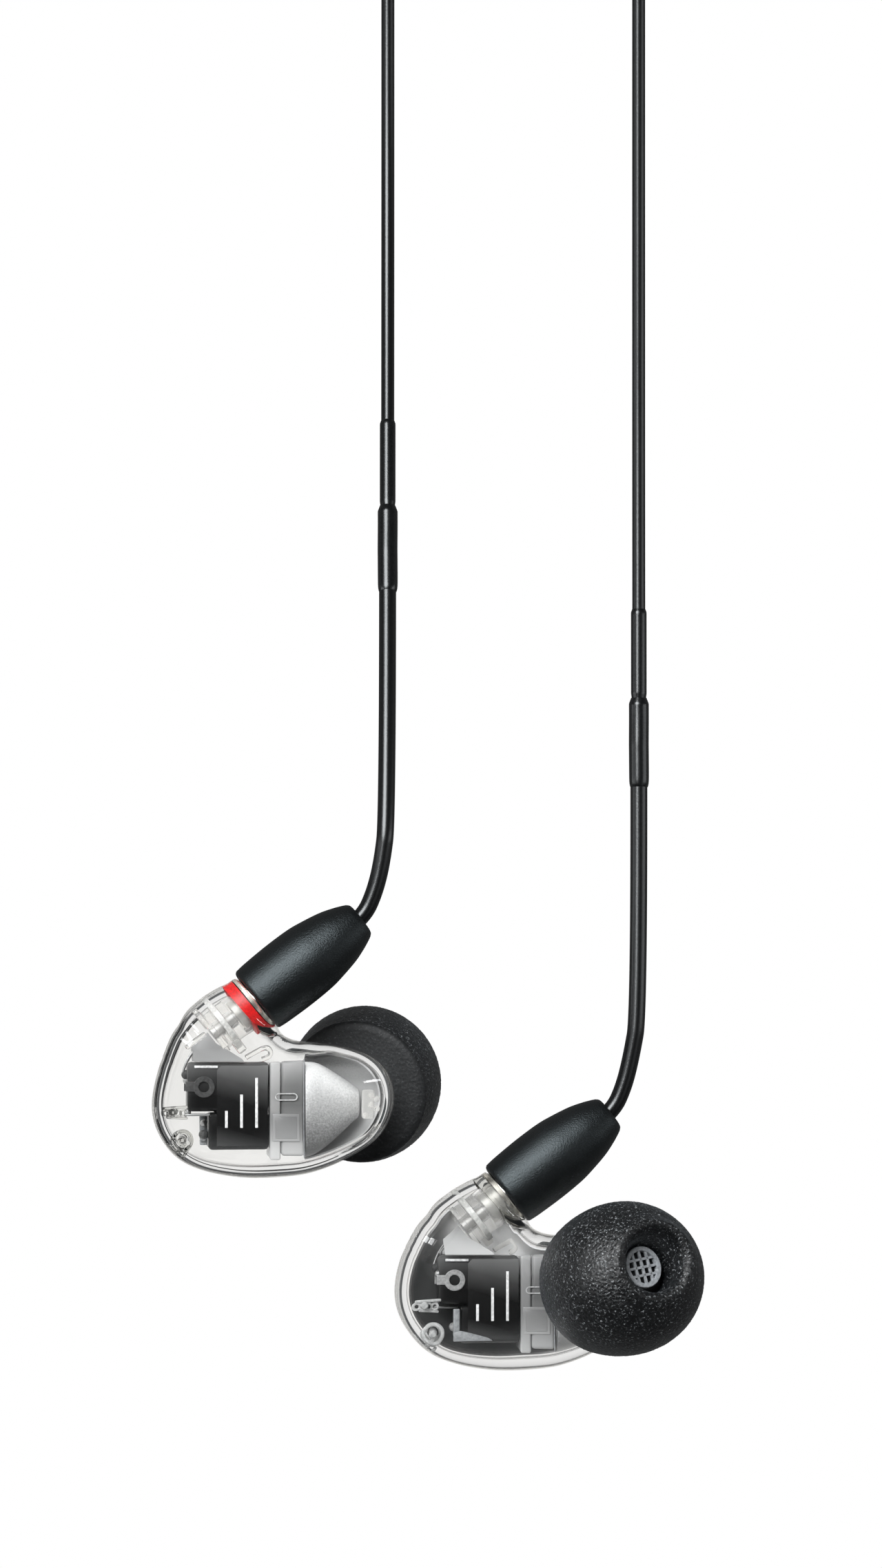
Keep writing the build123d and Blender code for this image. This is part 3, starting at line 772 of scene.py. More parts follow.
def shell_distance(p, inset):
    """Rough distance in millimetres outside the shell's surface, moved in by inset."""
    spoke = p[:, :2] - MIDDLE
    reach = reach_at(np.arctan2(spoke[:, 1], spoke[:, 0])) - inset
    height = np.where(p[:, 2] > 0, OUTER_HEIGHT, INNER_DEPTH) - inset
    size = (np.hypot(*spoke.T) / reach) ** 2.5 + (np.abs(p[:, 2]) / height) ** 2.3
    size = np.maximum(size, 1e-9) ** (1 / 2.4)
    body = np.linalg.norm(p - [*MIDDLE, 0], axis=1) * (1 - 1 / size)
    along = p @ BARREL_AXIS
    off = np.linalg.norm(p - np.outer(along, BARREL_AXIS), axis=1)
    radius = BOSS_RADIUS + (BOSS_ROOT - BOSS_RADIUS) * np.clip(-along / BOSS_DEPTH, 0, 1)
    end = along + (0.06 if inset == 0 else 0.35)
    boss = -soft_min(-(off - radius + inset), -end, 0.35)
    boss = -soft_min(-boss, BOSS_DEPTH + along, 1.2)
    return soft_min(body, boss, 1.5)


def shell_surface(azimuths, elevations, inset):
    """Points of the shell's surface along rays from its middle."""
    a, e = np.meshgrid(azimuths, elevations)
    rays = np.stack([np.cos(e) * np.cos(a), np.cos(e) * np.sin(a), np.sin(e)], -1).reshape(-1, 3)
    centre = np.array([*MIDDLE, 0])
    low, high = np.zeros(len(rays)), np.full(len(rays), 17.0)
    for _ in range(30):
        mid = (low + high) / 2
        inside = shell_distance(centre + rays * mid[:, None], inset) < 0
        low, high = np.where(inside, mid, low), np.where(inside, high, mid)
    return centre + rays * low[:, None]


def shell_azimuths(count):
    """Angles round the shell, closer together over the boss."""
    even = np.linspace(0, 2 * math.pi, count, endpoint=False)
    boss = math.radians(100)
    return np.sort(np.mod(even - 0.42 * np.sin(even - boss), 2 * math.pi))


def rear_fitted(points, side):
    """Swells or shrinks what lies behind the drivers to this side's size."""
    spoke = points[:, :2] - MIDDLE
    off = (np.mod(np.arctan2(spoke[:, 1], spoke[:, 0]), 2 * math.pi) - REAR_AT) / REAR_WIDTH
    fitted = points.copy()
    fitted[:, :2] += spoke * (REAR_SWELL[side.name] * np.exp(-(off**2)))[:, None]
    return fitted


def cover(side, name, up, mat, outer_inset=0.0, inner_inset=WALL, count=300, rows=70):
    """One half of a shell, a closed wall between two surfaces, each moved in from the outside."""
    azimuths = shell_azimuths(count)
    rise = np.linspace(0, math.pi / 2, rows)[:-1] * up
    layers = []
    for inset in (outer_inset, inner_inset):
        layers.append(shell_surface(azimuths, rise, inset))
        layers.append(shell_surface([0], [up * math.pi / 2], inset))
    points = np.vstack(layers) + [0, 0, SEAM_GAP * up]
    shell_faces = grid_faces(rows - 1, count)
    last = (rows - 2) * count
    pole = (rows - 1) * count
    shell_faces += [(last + k, last + (k + 1) % count, pole) for k in range(count)]
    inside = pole + 1
    faces = shell_faces + [tuple(inside + index for index in face[::-1]) for face in shell_faces]
    faces += [(k, inside + k, inside + (k + 1) % count, (k + 1) % count) for k in range(count)]
    return solid(name, rear_fitted(points, side), faces, mat, side, 60)


def cut_off(made, side, at, direction):
    """Cuts away what lies past a local plane and closes the cut."""
    co, tip = side.put([at, np.add(at, direction)]) * MM
    work = bmesh.new()
    work.from_mesh(made.data)
    found = bmesh.ops.bisect_plane(
        work, geom=work.verts[:] + work.edges[:] + work.faces[:], plane_co=co, plane_no=tip - co,
        clear_outer=True,
    )
    edges = [item for item in found["geom_cut"] if isinstance(item, bmesh.types.BMEdge)]
    bmesh.ops.holes_fill(work, edges=edges)
    bmesh.ops.recalc_face_normals(work, faces=work.faces)
    work.to_mesh(made.data)
    work.free()


def shell(side):
    """Clear covers with the nozzle, and what lines them."""
    outer = cover(side, "clear_outer", 1, CLEAR)
    inner = cover(side, "clear_inner", -1, CLEAR)
    nozzle = lathe(
        "nozzle",
        [(0, 0.95), (5.2, 0.95), (5.2, 1.35), (5.05, 1.5), (1.7, 1.5), (1.3, 1.9), (0.7, 2.7),
         (0.3, 3.4), (0, 3.4)],
        NOZZLE_ROOT, NOZZLE_AXIS, MILKY, side, closed=True,
    )
    # Painted reflection streaks and shade: the tray's grey rises and falls in bands along local Y.
    tray_mat = painted_light_grade(
        "tray", side, (4.2, -14.6), (4.2, -4.0), (0.0, 0.12), (0.12, 0.42), (0.22, 0.24), (0.36, 0.42),
        (0.6, 0.5), (0.8, 0.36), (0.88, 0.55), (0.94, 0.25), (1.0, 0.1), rough=0.28, grain=0.12,
    )
    tray = cover(side, "front_tray", -1, tray_mat, 1.25, 1.45, 200, 40)
    cut_off(tray, side, (FUNNEL_MOUTH + 0.1, 0, 0), (-1, 0, 0))
    pieces = [nozzle, tray]
    if side.name == "left":
        # Left only: a dark sheet of painted shade inside the outer cover, lightening towards one end in a
        # painted reflection.
        smoke = painted_light_grade(
            "smoke", side, (-9.5, -10.5), (-1.0, -3.2), (0.0, 0.022), (0.38, 0.045), (0.6, 0.2),
            (0.78, 0.85), rough=0.22,
        )
        pieces.append(cover(side, "smoke_liner", 1, smoke, 1.15, 1.35, 220, 46))
    turns = np.radians(np.arange(132, 322, 1.5))
    reach = (reach_at(turns) - GASKET_INSET)[:, None]
    arc = MIDDLE + np.column_stack([np.cos(turns), np.sin(turns)]) * reach
    path = side.put(rear_fitted(np.column_stack([arc, np.full(len(arc), GASKET_HEIGHT)]), side))
    swell = 0.05 + 0.13 * np.maximum(0, np.cos(turns - math.radians(150))) ** 10
    swell += 0.04 * np.maximum(0, np.cos(turns - math.radians(278))) ** 6
    lengths = np.concatenate([[0], np.cumsum(np.linalg.norm(np.diff(path, axis=0), axis=1))])
    pieces.append(sweep(
        side.label("gasket"), path, lambda length, _turns: np.interp(length, lengths, swell),
        GASKET, 12,
    ))
    body = side.label("earphone")
    settle(outer, body, "clear_shell", side.label("outer_cover"))
    settle(inner, body, "clear_shell", side.label("inner_cover"))
    for item in pieces:
        settle(item, body, "clear_shell")


# ------------------------------------------------------------------ inside the shell
DRIVER_LEFT = -5.95
DRIVER_RIGHT = 1.05
DRIVER_TOP = -5.3
DRIVER_SPLIT = -9.6
DRIVER_BOTTOM = -12.8
CAN_TOP = 1.9
CAN_REAR = {"high": 1.7, "low": 2.5}
DOMES = [
    (-6.0, -6.4, 0.5, 0.42), (-4.5, -11.55, 0.4, 0.42), (-5.9, -9.6, 1.1, 0.3),
    (-5.9, -6.9, -1.2, 0.34), (-4.35, -10.6, -1.9, 0.32),
]


def face_span(face, reach, height, thick):
    """Local Z span of a layer this high above a driver's outer (1) or inner (-1) face."""
    return sorted((face * (reach + height), face * (reach + height + thick)))


def drivers(side):
    """Two cans, their label plates, lugs, terminals and solder."""
    # Painted light and shade: the cans are lighter at the top, black in the middle and a little lighter at
    # the bottom.
    black = painted_light_grade(
        "can", side, (-1, DRIVER_TOP), (-1, DRIVER_BOTTOM), (0.0, 0.09), (0.18, 0.035), (0.4, 0.004),
        (0.8, 0.004), (1.0, 0.02), rough=0.2, Specular_IOR_Level=0.3,
    )
    # Painted light and shade: the label plates are lighter at the top, black in the middle and a little
    # lighter at the bottom.
    label = painted_light_grade(
        "label", side, (0.6, DRIVER_TOP), (-1.6, DRIVER_BOTTOM), (0.0, 0.2), (0.3, 0.05), (0.5, 0.005),
        (0.8, 0.004), (1.0, 0.05), rough=0.25, Specular_IOR_Level=0.25,
    )
    # Painted light: the same lug is dark grey on the right earphone and pale grey on the left.
    lug_mat = plain(side.label("lug"), (0.06 if side.name == "right" else 0.34,) * 3, 0.25)
    high = block(
        "upper_can", (DRIVER_LEFT, DRIVER_SPLIT + 0.05, -CAN_REAR["high"]),
        (DRIVER_RIGHT, DRIVER_TOP, CAN_TOP), black, side, 0.4,
    )
    low = block(
        "lower_can", (-4.15, DRIVER_BOTTOM, -CAN_REAR["low"]),
        (DRIVER_RIGHT, DRIVER_SPLIT - 0.05, CAN_TOP), black, side, 0.35,
    )
    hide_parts(side.label("driver_high"))
    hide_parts(side.label("driver_low"))
    pieces = {high: "driver_black", low: "driver_black"}
    for words, face, reach, high_reach in (
        ("outer", 1, CAN_TOP, CAN_TOP), ("inner", -1, CAN_REAR["low"], CAN_REAR["high"]),
    ):
        made = plate(
            f"{words}_label", [(-3.45, -12.5), (0.95, -12.5), (0.95, -5.6), (-3.1, -5.6), (-3.45, -6.0)],
            *face_span(face, reach, 0.02, 0.1), label, side, 0.04,
        )
        pieces[made] = "driver_black"
        for number, top in enumerate((-9.5, -8.1, -6.65)):
            x = -2.75 + 1.3 * number
            bar = plate(
                f"{words}_level_bar_{number}",
                [(x, -10.95), (x + 0.24, -10.95), (x + 0.24, top), (x, top)],
                *face_span(face, reach, 0.13, 0.05), WHITE, side, 0.02,
            )
            pieces[bar] = "jack_white"
        bottom, top = face_span(face, high_reach, 0.01, 0.21)
        lug = ring_piece(f"{words}_lug", 0.46, 0.92, bottom, top, (-4.55, -7.45), lug_mat, side)
        tab = block(
            f"{words}_lug_tab", (-6.1, -7.85, bottom + 0.03), (-5.3, -7.0, top - 0.03), lug_mat, side, 0.06
        )
        # A thin pale strip painted as a highlight along the upper can's top edge.
        glint_strip = block(
            f"{words}_edge_trim", (-5.35, -5.82, bottom), (-3.35, -5.6, top - 0.08), GLINT, side, 0.05
        )
        pieces.update({lug: "driver_black", tab: "driver_black", glint_strip: "jack_white"})
    blade = block("terminal_blade", (-6.2, -9.95, 0.6), (-3.6, -9.75, 1.7), SOLDER, side, 0.06)
    heel = block("terminal_heel", (-4.7, -12.2, -2.75), (-4.15, -9.9, -2.0), GREY, side, 0.1)
    foot = plate(
        "terminal_foot",
        [(-4.7, -12.6), (-1.3, -12.6), (-1.7, -12.35), (-3.4, -11.9), (-4.1, -11.75), (-4.7, -11.9)],
        -2.85, -2.63, GREY, side, 0.07,
    )
    pieces.update({blade: "contact_gold", heel: "board_grey", foot: "board_grey"})
    dome_mats = (black, lug_mat, SOLDER, SOLDER, SOLDER)
    for number, ((*middle, radius), mat) in enumerate(zip(DOMES, dome_mats)):
        profile = [
            (-radius * math.cos(turn), radius * max(0.02, math.sin(turn)))
            for turn in np.linspace(0, math.pi, 13)
        ]
        pieces[disc_piece(f"terminal_dome_{number}", profile, middle, mat, side, 24)] = "contact_gold"
    return pieces


def carrier(side):
    """Frame that holds the drivers against the sound funnel, with its slots and pockets."""
    # Painted light and shade: the carrier and its edge are graded light and dark along local Y.
    frame_mat = painted_light_grade(
        "carrier", side, (2.6, -5.2), (2.6, -13.7), (0.0, 0.6), (0.25, 0.3), (0.45, 0.24), (0.75, 0.5),
        (1.0, 0.85), rough=0.22, Transmission_Weight=0.5, IOR=1.45,
    )
    light = painted_light_grade(
        "carrier_edge", side, (1.4, -5.2), (1.4, -13.7), (0.0, 0.75), (0.3, 0.5), (0.6, 0.45),
        (1.0, 0.95), rough=0.2, Transmission_Weight=0.5, IOR=1.45,
    )
    bright = plain(side.label("slot_rim"), (0.7, 0.7, 0.7), 0.2, Transmission_Weight=0.3)
    edge = block("carrier_edge", (1.12, -13.6, -2.35), (2.05, -5.3, 1.98), light, side, 0.18)
    body = block("carrier_body", (2.08, -13.3, -2.3), (4.1, -5.25, 1.9), frame_mat, side, 0.3)
    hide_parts(side.label("driver_carrier"))
    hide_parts(side.label("driver_carrier"))
    pieces = [edge, body]
    for words, level, floor in (("outer", 1.92, (0.1, 0.19)), ("inner", -2.4, (-0.05, 0.04))):
        pieces.append(plate(
            f"{words}_pocket", [(1.35, -12.1), (3.7, -12.1), (3.7, -9.75), (1.35, -9.75)],
            level, level + 0.14, light, side, 0.06,
        ))
        pieces.append(plate(
            f"{words}_pocket_floor", [(1.6, -11.85), (3.45, -11.85), (3.45, -10.0), (1.6, -10.0)],
            level + floor[0], level + floor[1], frame_mat, side, 0.04,
        ))
        pieces.append(ring_plate(f"{words}_slot", (2.55, -8.3), 0.98, 0.32, 0.1, level, 0.16, bright, side))
        ends = (4.02, -13.4, level), (4.12, -5.2, level + 0.1)
        pieces.append(block(f"{words}_joint", *ends, GREY, side, 0.03))
    return dict.fromkeys(pieces, "carrier_grey")


def ring_plate(name, middle, half_length, half_height, rim, bottom, thick, mat, side):
    """The raised rim of a slot with round ends."""
    count = 48
    turns = turns_round(count)
    rings = []
    for grow, z in ((0, bottom), (0, bottom + thick), (-rim, bottom + thick), (-rim, bottom)):
        radius = half_height + grow
        shift = np.sign(np.cos(turns)) * (half_length - half_height)
        across, up = middle[0] + shift + radius * np.cos(turns), middle[1] + radius * np.sin(turns)
        rings.append(np.column_stack([across, up, np.full(count, z)]))
    faces = grid_faces(4, count, closed_rows=True)
    return solid(name, np.vstack(rings), faces, mat, side)


def funnel(side):
    """Silver sound cone, with its elbow over the nozzle and the clear latch at its end."""
    # Painted light and shade: the cone is lightest at the top and darkens towards the bottom.
    silver = painted_light_grade(
        "cone", side, (6, -6.6), (6, -15.0), (0.0, 1.0), (0.24, 0.95), (0.42, 0.75), (0.62, 0.52),
        (0.8, 0.32), (1.0, 0.14), rough=0.34, grain=0.6, relief=0.09, Metallic=0.35,
    )
    sections = [
        (4.2, -9.4, -0.2, 4.1, 2.5), (4.35, -9.4, -0.2, 4.15, 2.55), (5.0, -9.35, -0.2, 4.0, 2.5),
        (5.9, -9.25, -0.3, 3.55, 2.3), (6.8, -9.15, -0.45, 2.9, 2.0), (7.7, -9.0, -0.6, 2.2, 1.65),
        (8.5, -8.9, -0.8, 1.55, 1.3), (8.9, -8.9, -0.9, 1.25, 1.15), (9.0, -8.9, -0.9, 1.0, 0.9),
    ]
    count = 96
    turns = turns_round(count)
    across, up = (np.sign(way) * np.abs(way) ** 0.75 for way in (np.cos(turns), np.sin(turns)))
    rings = [
        np.column_stack([np.full(count, x), y + wide * across, z + deep * up])
        for x, y, z, wide, deep in smooth_profile(sections, 6)
    ]
    cone = solid("sound_cone", np.vstack(rings), tube_faces(len(rings), count), silver, side)
    elbow = lathe(
        "sound_elbow",
        [(-2.4, 1.0), (-2.3, 1.4), (-0.75, 1.4), (-0.7, 1.3), (-0.7, 0.75), (-1.6, 0.75)],
        NOZZLE_ROOT, NOZZLE_AXIS, silver, side,
    )
    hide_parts(side.label("acoustic_funnel"))
    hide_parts(side.label("acoustic_funnel"))
    latch = block("latch", (9.15, -10.2, -0.2), (10.2, -7.7, 1.1), MILKY, side, 0.2)
    pieces = {cone: "funnel_silver", elbow: "funnel_silver", latch: "clear_shell"}
    profile = [(1.05, 0.02), (1.05, 0.26), (1.2, 0.25), (1.32, 0.16), (1.37, 0.02)]
    for number, place in enumerate(((9.9, -8.2), (10.35, -8.5), (9.9, -9.0), (10.35, -9.3), (9.4, -9.9))):
        bump = disc_piece(f"latch_bump_{number}", profile, (*place, 0), MILKY, side, 20)
        pieces[bump] = "clear_shell"
    return pieces


# Painted light and shade: the flex board's grey levels from top to bottom differ between the sides.
BOARD_LEVELS = {
    "right": ((0.0, 0.34), (0.5, 0.27), (1.0, 0.4)),
    "left": ((0.0, 0.25), (0.5, 0.5), (1.0, 0.75)),
}
BOARD_OUTLINE = [
    (-5.4, -5.25), (-5.55, -3.95), (-4.25, -2.75), (-3.5, -3.7), (-2.6, -4.2), (-1.3, -5.0), (-1.1, -5.25),
]
# name, two corners, edge radius and turn of the clear blocks round the jack
JACK_BLOCKS = [
    ("jack_wing", (-6.3, -3.7, 2.0), (-4.2, -3.25, 2.5), 0.12, 35),
    ("jack_catch", (-3.3, -4.1, 2.3), (-2.5, -3.0, 2.7), 0.15, 35),
    ("jack_step", (-2.2, -4.3, 1.9), (-0.9, -3.5, 2.5), 0.18, -52),
    ("jack_rib", (-5.0, -2.6, 0.9), (-4.5, -0.6, 2.2), 0.12, 38),
]
HOOK = [(-0.9, -4.9, 1.6), (0.2, -4.2, 2.0), (1.0, -4.1, 1.8), (1.3, -4.9, 1.5), (0.4, -5.1, 1.4)]
DRIVER_WIRES = [((-4.2, -3.2, 0.5), (-6.3, -6.4, 0.6)), ((-3.6, -3.6, -0.6), (-5.8, -5.2, -1.0))]


def jack(side):
    """Clear connector housing with its flanges, wings and the flexible board behind it."""
    flanges = [
        (-0.06, 1.42), (-0.06, 1.73), (-1.7, 1.73), (-1.75, 1.9), (-3.1, 1.9), (-3.15, 2.1),
        (-3.7, 2.1), (-3.75, 1.85), (-4.3, 1.85), (-4.35, 2.05), (-4.75, 2.05), (-4.8, 0.52),
        (-2.45, 0.52), (-2.4, 1.42),
    ]
    housing = lathe("jack_housing", flanges, (0, 0, 0), BARREL_AXIS, MILKY, side, closed=True)
    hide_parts(side.label("jack_body"))
    band_mat = plain(side.label("bright_band"), (0.72, 0.72, 0.7), 0.25, Transmission_Weight=0.25)
    band = lathe(
        "jack_band", [(-3.2, 2.12), (-3.65, 2.12), (-3.65, 2.3), (-3.2, 2.3)],
        (0, 0, 0), BARREL_AXIS, band_mat, side, closed=True,
    )
    board_mat = painted_light_grade(
        "board", side, (-4.0, -2.7), (-3.6, -5.5), *BOARD_LEVELS[side.name], rough=0.35
    )
    board = plate("flex_board", BOARD_OUTLINE, 2.08, 2.28, board_mat, side, 0.05)
    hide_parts(side.label("crossover_board"))
    back_board = plate("back_board", BOARD_OUTLINE, -2.3, -2.1, board_mat, side, 0.05)
    pieces = {housing: "jack_white", band: "jack_white", board: "board_grey", back_board: "board_grey"}
    for name, low, high, radius, turn in JACK_BLOCKS:
        pieces[block(name, low, high, MILKY, side, radius, turn)] = "clear_shell"
    hook = sweep(side.label("sound_hook"), side.put(spline(HOOK, 8)), 0.22, MILKY, 20)
    pieces[hook] = "clear_shell"
    for number, (start, end) in enumerate(DRIVER_WIRES):
        middle = np.add(start, end) / 2 + [-0.7, 0.2, 0.4]
        line = side.put(spline([start, middle, end], 12))
        wire = sweep(side.label(f"driver_wire_{number}"), line, 0.11, SOLDER, 10)
        pieces[wire] = "contact_gold"
    return pieces


PEGS_AT = [(-7.1, -9.6), (-6.35, -12.0)]
# name, X, Y and Z spans and turn of the bars round the pegs
PEG_BARS = [
    ("clasp_top", (-7.9, -5.7), (-9.35, -9.1), (0.9, 1.9), 4),
    ("clasp_base", (-7.6, -5.9), (-10.2, -9.98), (0.9, 1.7), -4),
    ("peg_strut", (-6.95, -5.85), (-12.75, -12.4), (0.6, 1.6), 50),
    ("peg_brace", (-6.5, -5.5), (-13.1, -12.85), (0.5, 1.4), 55),
]


def posts(side):
    """The two clear pegs that join the covers, with collars, and the ribbed clasp beside them."""
    mat = PEGS[side.name]
    pieces = []

    def level(span):
        return sorted(z * side.sign for z in span)

    def ring_at(name, inner, outer, span, middle, count=40):
        pieces.append(ring_piece(name, inner, outer, *level(span), middle, mat, side, count))

    profile = [(-3.0, 0.42), (-1.0, 0.38), (0.5, 0.36), (2.3, 0.3), (2.4, 0.22)]
    profile = [(along * side.sign, radius) for along, radius in profile]
    for number, place in enumerate(PEGS_AT):
        pieces.append(disc_piece(f"peg_{number}", profile, (*place, 0), mat, side, 36))
    ring_at("peg_collar", 0.62, 0.95, (1.2, 1.9), PEGS_AT[1])
    ring_at("peg_foot", 0.5, 0.86, (-0.6, 0.0), PEGS_AT[1])
    for number, x in enumerate((-7.75, -7.25, -6.75, -6.25)):
        ring_at(f"clasp_ring_{number}", 0.16, 0.36, (1.3, 1.75), (x, -9.7), 24)
    for name, *spans, z_span, turn in PEG_BARS:
        low, high = zip(*spans, level(z_span))
        pieces.append(block(name, low, high, mat, side, 0.1, turn))
    return dict.fromkeys(pieces, "clear_shell")


def inside(side):
    for build in (drivers, carrier, funnel, jack, posts):
        for item, slot in build(side).items():
            settle(item, side.label("earphone"), slot)


# ------------------------------------------------------------------ ear tips and barrels
# how far the soft foam, its front and the wax guard sit off the nozzle's axis
FOAM_LEAN = {"right": (0.75, -0.05, 0.0), "left": (-0.25, 0.25, 0.0)}
FRONT_SHIFT = {"right": (0, 0, 0), "left": (0.3, 0.8, 0)}
GUARD_SHIFT = {"right": (0, 0, 0), "left": (-0.2, 0.5, 0)}
GUARD_TILT = {"right": (0, 0, 0), "left": (0.22, 0.1, 0)}
FOAM_FRONT = 12.7
PORE_DEPTH = 0.022
BAR_SPACING = 0.71
BAR_HALF = (0.115, 0.12)
GUARD_RADIUS = 1.62


def foam_tip(side):
    """Foam sleeve: rear face, rounded body, ridge and recess at its front."""
    outside = smooth_profile(
        [(2.3, 6.25), (4.2, 6.6), (6.4, 6.75), (8.4, 6.55), (10.1, 5.95), (11.2, 5.25), (11.85, 4.65),
         (12.2, 4.2), (12.58, 3.75), (FOAM_FRONT, 3.35), (12.5, 2.9), (12.0, 2.6), (11.3, 2.45)], 9,
    )
    rear = [(2.0, 2.3), (2.0, 3.4), (2.0, 4.5), (2.0, 5.5), (2.06, 6.0)]
    inner = [(10.7, 2.35), (10.3, 2.2), (4.0, 2.2)]
    profile = np.vstack([rear, outside, inner])
    count = 320
    points = lathe_points(profile, NOZZLE_ROOT, NOZZLE_AXIS, count).reshape(len(profile), count, 3)
    share = np.clip((FOAM_FRONT - profile[:, 0]) / (FOAM_FRONT - rear[0][0]), 0, 1)
    share *= np.clip((profile[:, 1] - 2.3) / 2.5, 0, 1)
    points += share[:, None, None] * np.array(FOAM_LEAN[side.name])
    front = np.clip((profile[:, 0] - 9.8) / 2.6, 0, 1) * np.clip((5.2 - profile[:, 1]) / 1.6, 0, 1)
    points += front[:, None, None] * np.array(FRONT_SHIFT[side.name])
    pores = np.random.RandomState(7).uniform(-PORE_DEPTH, PORE_DEPTH, (len(profile), count, 1))
    pores[:2] = pores[-3:] = 0
    radial = points - points.mean(axis=1, keepdims=True)
    radial /= np.linalg.norm(radial, axis=2, keepdims=True)
    points = (points + radial * pores).reshape(-1, 3)
    faces = grid_faces(len(profile), count, closed_rows=True)
    made = solid("foam", points, faces, FOAM, side, 80)
    made.data.materials.append(FOAM_CUT)
    for face in made.data.polygons:
        face.material_index = int(face.index // count < len(rear))
    settle(made, side.label("tip"), "foam_black", side.label("foam_tip"))


def grille(side):
    """Stem inside the foam and its wax guard: a rim and crossed bars with square holes."""
    axis = NOZZLE_AXIS + GUARD_TILT[side.name]
    axis /= np.linalg.norm(axis)
    middle = NOZZLE_ROOT + NOZZLE_AXIS * 10.4 + GUARD_SHIFT[side.name]
    across = np.cross(axis, [0, 0, 1.0])
    across /= np.linalg.norm(across)
    up = np.cross(axis, across)
    stem = lathe(
        "stem",
        [(2.0, 1.66), (2.0, 2.15), (9.3, 2.15), (9.3, 1.25), (7.2, 1.25), (7.2, 1.66)],
        NOZZLE_ROOT, NOZZLE_AXIS, CORE, side, 64, closed=True,
    )
    floor = lathe(
        "guard_floor", [(-1.0, 2.1), (-0.12, 2.1), (-0.1, 1.9), (-0.1, 0.02)],
        middle, axis, CORE, side, 48,
    )
    rim = lathe(
        "grille_rim", [(0, 1.42), (0, 1.86), (0.42, 1.86), (0.48, 1.8), (0.48, 1.46)],
        middle, axis, SCREEN, side, 64, closed=True,
    )
    pieces = {stem: "core_dark", floor: "core_dark", rim: "screen_grey"}
    spin = math.radians(14)
    first = across * math.cos(spin) + up * math.sin(spin)
    second = up * math.cos(spin) - across * math.sin(spin)
    for words, run, step in (("across", first, second), ("up", second, first)):
        for number in (-1, 0, 1):
            place = middle + axis * 0.26 + step * number * BAR_SPACING
            half = math.sqrt(GUARD_RADIUS**2 - (number * BAR_SPACING) ** 2)
            corners = [
                place + run * x * half + step * y * BAR_HALF[0] + axis * z * BAR_HALF[1]
                for z in (-1, 1) for x, y in ((-1, -1), (1, -1), (1, 1), (-1, 1))
            ]
            faces = [(3, 2, 1, 0), (4, 5, 6, 7), (0, 1, 5, 4), (1, 2, 6, 5), (2, 3, 7, 6), (3, 0, 4, 7)]
            bar = solid(f"grille_{words}_{number + 1}", corners, faces, SCREEN, side)
            round_edges(bar, 0.03)
            pieces[bar] = "screen_grey"
    for item, slot in pieces.items():
        settle(item, side.label("tip"), slot)
    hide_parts(side.label("tip_core"))
    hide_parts(side.label("tip_screen"))


def barrel(side):
    """Connector barrel: a long grained olive shape with a rounded cable end."""
    outside = smooth_profile(
        [(0.3, 3.08), (1.3, 3.17), (3.7, 3.24), (6, 3.18), (7.5, 2.97), (9.1, 2.64), (10.3, 2.24),
         (11.1, 1.9)], 8,
    )
    profile = np.vstack([
        [(0.06, 1.5), (0.06, 2.78), (0.12, 2.94)], outside,
        smooth_profile([(11.4, 1.74), (11.62, 1.52), (11.7, 1.25)], 4), [(11.66, 0.76), (11.2, 0.76)],
    ])
    made = lathe("barrel", profile, (0, 0, 0), BARREL_AXIS, BARREL, side, 128, closed=True)
    settle(made, "cables", "barrel_black", side.label("connector_barrel"))


NODE_PAINT = {
    "jack_rim": RIM, "jack_contact": SOLDER, "plug_collar": STEEL,
    "snap_ring": STEEL, "plug_pin": GOLD,
}

for earphone in SIDES:
    shell(earphone)
    inside(earphone)
    foam_tip(earphone)
    grille(earphone)
    barrel(earphone)
    for part, mat in NODE_PAINT.items():
        paint(frame["nodes"][earphone.label(part)], mat)
    paint(
        frame["nodes"][earphone.label("marker_ring")],
        RED if earphone.name == "right" else CLEAR_INNER,
    )


# ------------------------------------------------------------------ floor and light
FLOOR_LEVELS = (0.12, 0.9, 1.0)
WORLD_LEVELS = (0.03, 0.8, 0.8)
FLOOR_HALF = 3.0
FLOOR_DROP = 0.0005
LAMP_COLOUR = (0.97, 0.985, 1.0)
LAMP_TARGET = Vector((0.0, 0.01, 0.01))


def level_by_ray(owner, dim, inside, bright):
    """A strength: bright seen directly or through plastic, dim in reflections and as fill light,
    and something between for reflections within clear plastic."""
    path = node(owner, "ShaderNodeLightPath")
    bounces = node(
        owner, "ShaderNodeMath", path.outputs["Diffuse Depth"], path.outputs["Glossy Depth"],
        operation="ADD",
    )
    reflected = node(
        owner, "ShaderNodeMapRange", path.outputs["Transmission Depth"], To_Min=dim, To_Max=inside
    )
    mix = node(owner, "ShaderNodeMapRange", bounces.outputs[0], To_Min=bright)
    join(owner, reflected.outputs["Result"], mix.inputs["To Max"])
    return mix.outputs["Result"]


def stage_floor():
    mesh = bpy.data.meshes.new("floor")
    corners = [(x * FLOOR_HALF, y * FLOOR_HALF, 0) for x, y in ((-1, -1), (1, -1), (1, 1), (-1, 1))]
    mesh.from_pydata(corners, [], [(0, 1, 2, 3)])
    floor = bpy.data.objects.new("floor", mesh)
    bpy.context.scene.collection.objects.link(floor)
    floor.location.z = -FLOOR_DROP
    mat = bpy.data.materials.new("floor")
    mat.use_nodes = True
    nodes = mat.node_tree.nodes
    nodes.remove(nodes["Principled BSDF"])
    glow = node(mat, "ShaderNodeEmission", Color=(1, 1, 1, 1))
    join(mat, level_by_ray(mat, *FLOOR_LEVELS), glow.inputs["Strength"])
    join(mat, glow.outputs[0], nodes["Material Output"].inputs["Surface"])
    mesh.materials.append(mat)


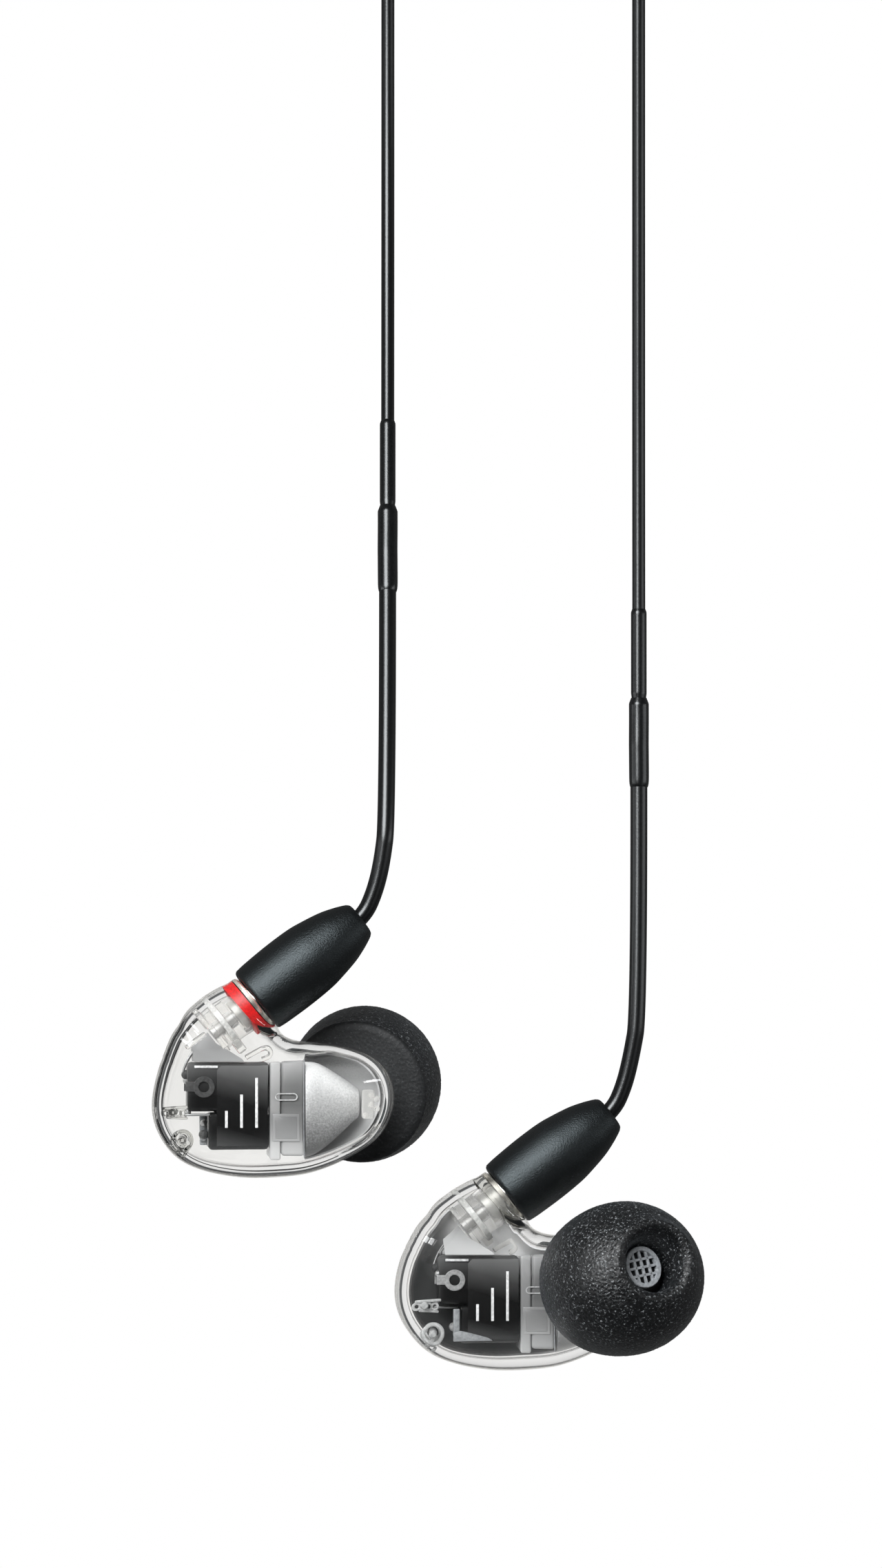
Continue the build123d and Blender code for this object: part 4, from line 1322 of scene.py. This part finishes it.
def made_of(name, *mats):
    """A collection of the pieces of these materials."""
    group = bpy.data.collections.new(name)
    for item in bpy.context.scene.objects:
        if item.type == "MESH" and item.active_material in mats:
            group.objects.link(item)
    return group


def all_but(name, *mats):
    """A lamp with this collection lights everything but the pieces of these materials."""
    group = made_of(name, *mats)
    for member in group.collection_objects:
        member.light_linking.link_state = "EXCLUDE"
    return group


def softbox(name, place, size, power, lit):
    data = bpy.data.lights.new(name, "AREA")
    data.shape = "RECTANGLE"
    data.size, data.size_y = size
    data.energy = power
    data.color = LAMP_COLOUR
    lamp = bpy.data.objects.new(name, data)
    bpy.context.scene.collection.objects.link(lamp)
    lamp.location = place
    lamp.rotation_euler = (LAMP_TARGET - Vector(place)).to_track_quat("-Z", "Y").to_euler()
    lamp.light_linking.receiver_collection = lit


def world_light():
    """Bright from the sides and dark straight above, where the flat black drivers would mirror it
    to a camera over the table."""
    world = bpy.data.worlds.new("world")
    bpy.context.scene.world = world
    world.use_nodes = True
    background = world.node_tree.nodes["Background"]
    way = node(world, "ShaderNodeTexCoord")
    height = node(world, "ShaderNodeSeparateXYZ", way.outputs["Generated"])
    sky = ramp(world, height.outputs["Z"], (0.6, (0.95, 0.98, 1.0)), (0.9, (0.14, 0.145, 0.15)))
    join(world, sky, background.inputs["Color"])
    join(world, level_by_ray(world, *WORLD_LEVELS), background.inputs["Strength"])


stage_floor()
but_shell = all_but("all but the shells", CLEAR)
but_clear = all_but("all but clear plastic", CLEAR, CLEAR_INNER)
only_shell = made_of("the shells", CLEAR)
softbox("gleam_left", (-0.5, 0.3, 0.14), (0.03, 0.4), 0.4, only_shell)
softbox("gleam_right", (0.5, 0.2, 0.1), (0.03, 0.4), 0.4, only_shell)
softbox("key", (-0.21, 0.29, 0.51), (0.34, 0.34), 4.6, but_shell)
softbox("fill", (0.42, -0.05, 0.42), (0.3, 0.3), 0.08, but_clear)
softbox("left_strip", (-0.5, 0.02, 0.2), (0.12, 0.5), 0.4, but_clear)
softbox("right_strip", (0.5, 0.06, 0.12), (0.12, 0.5), 0.35, but_clear)
world_light()
bpy.context.scene.view_settings.view_transform = "Standard"
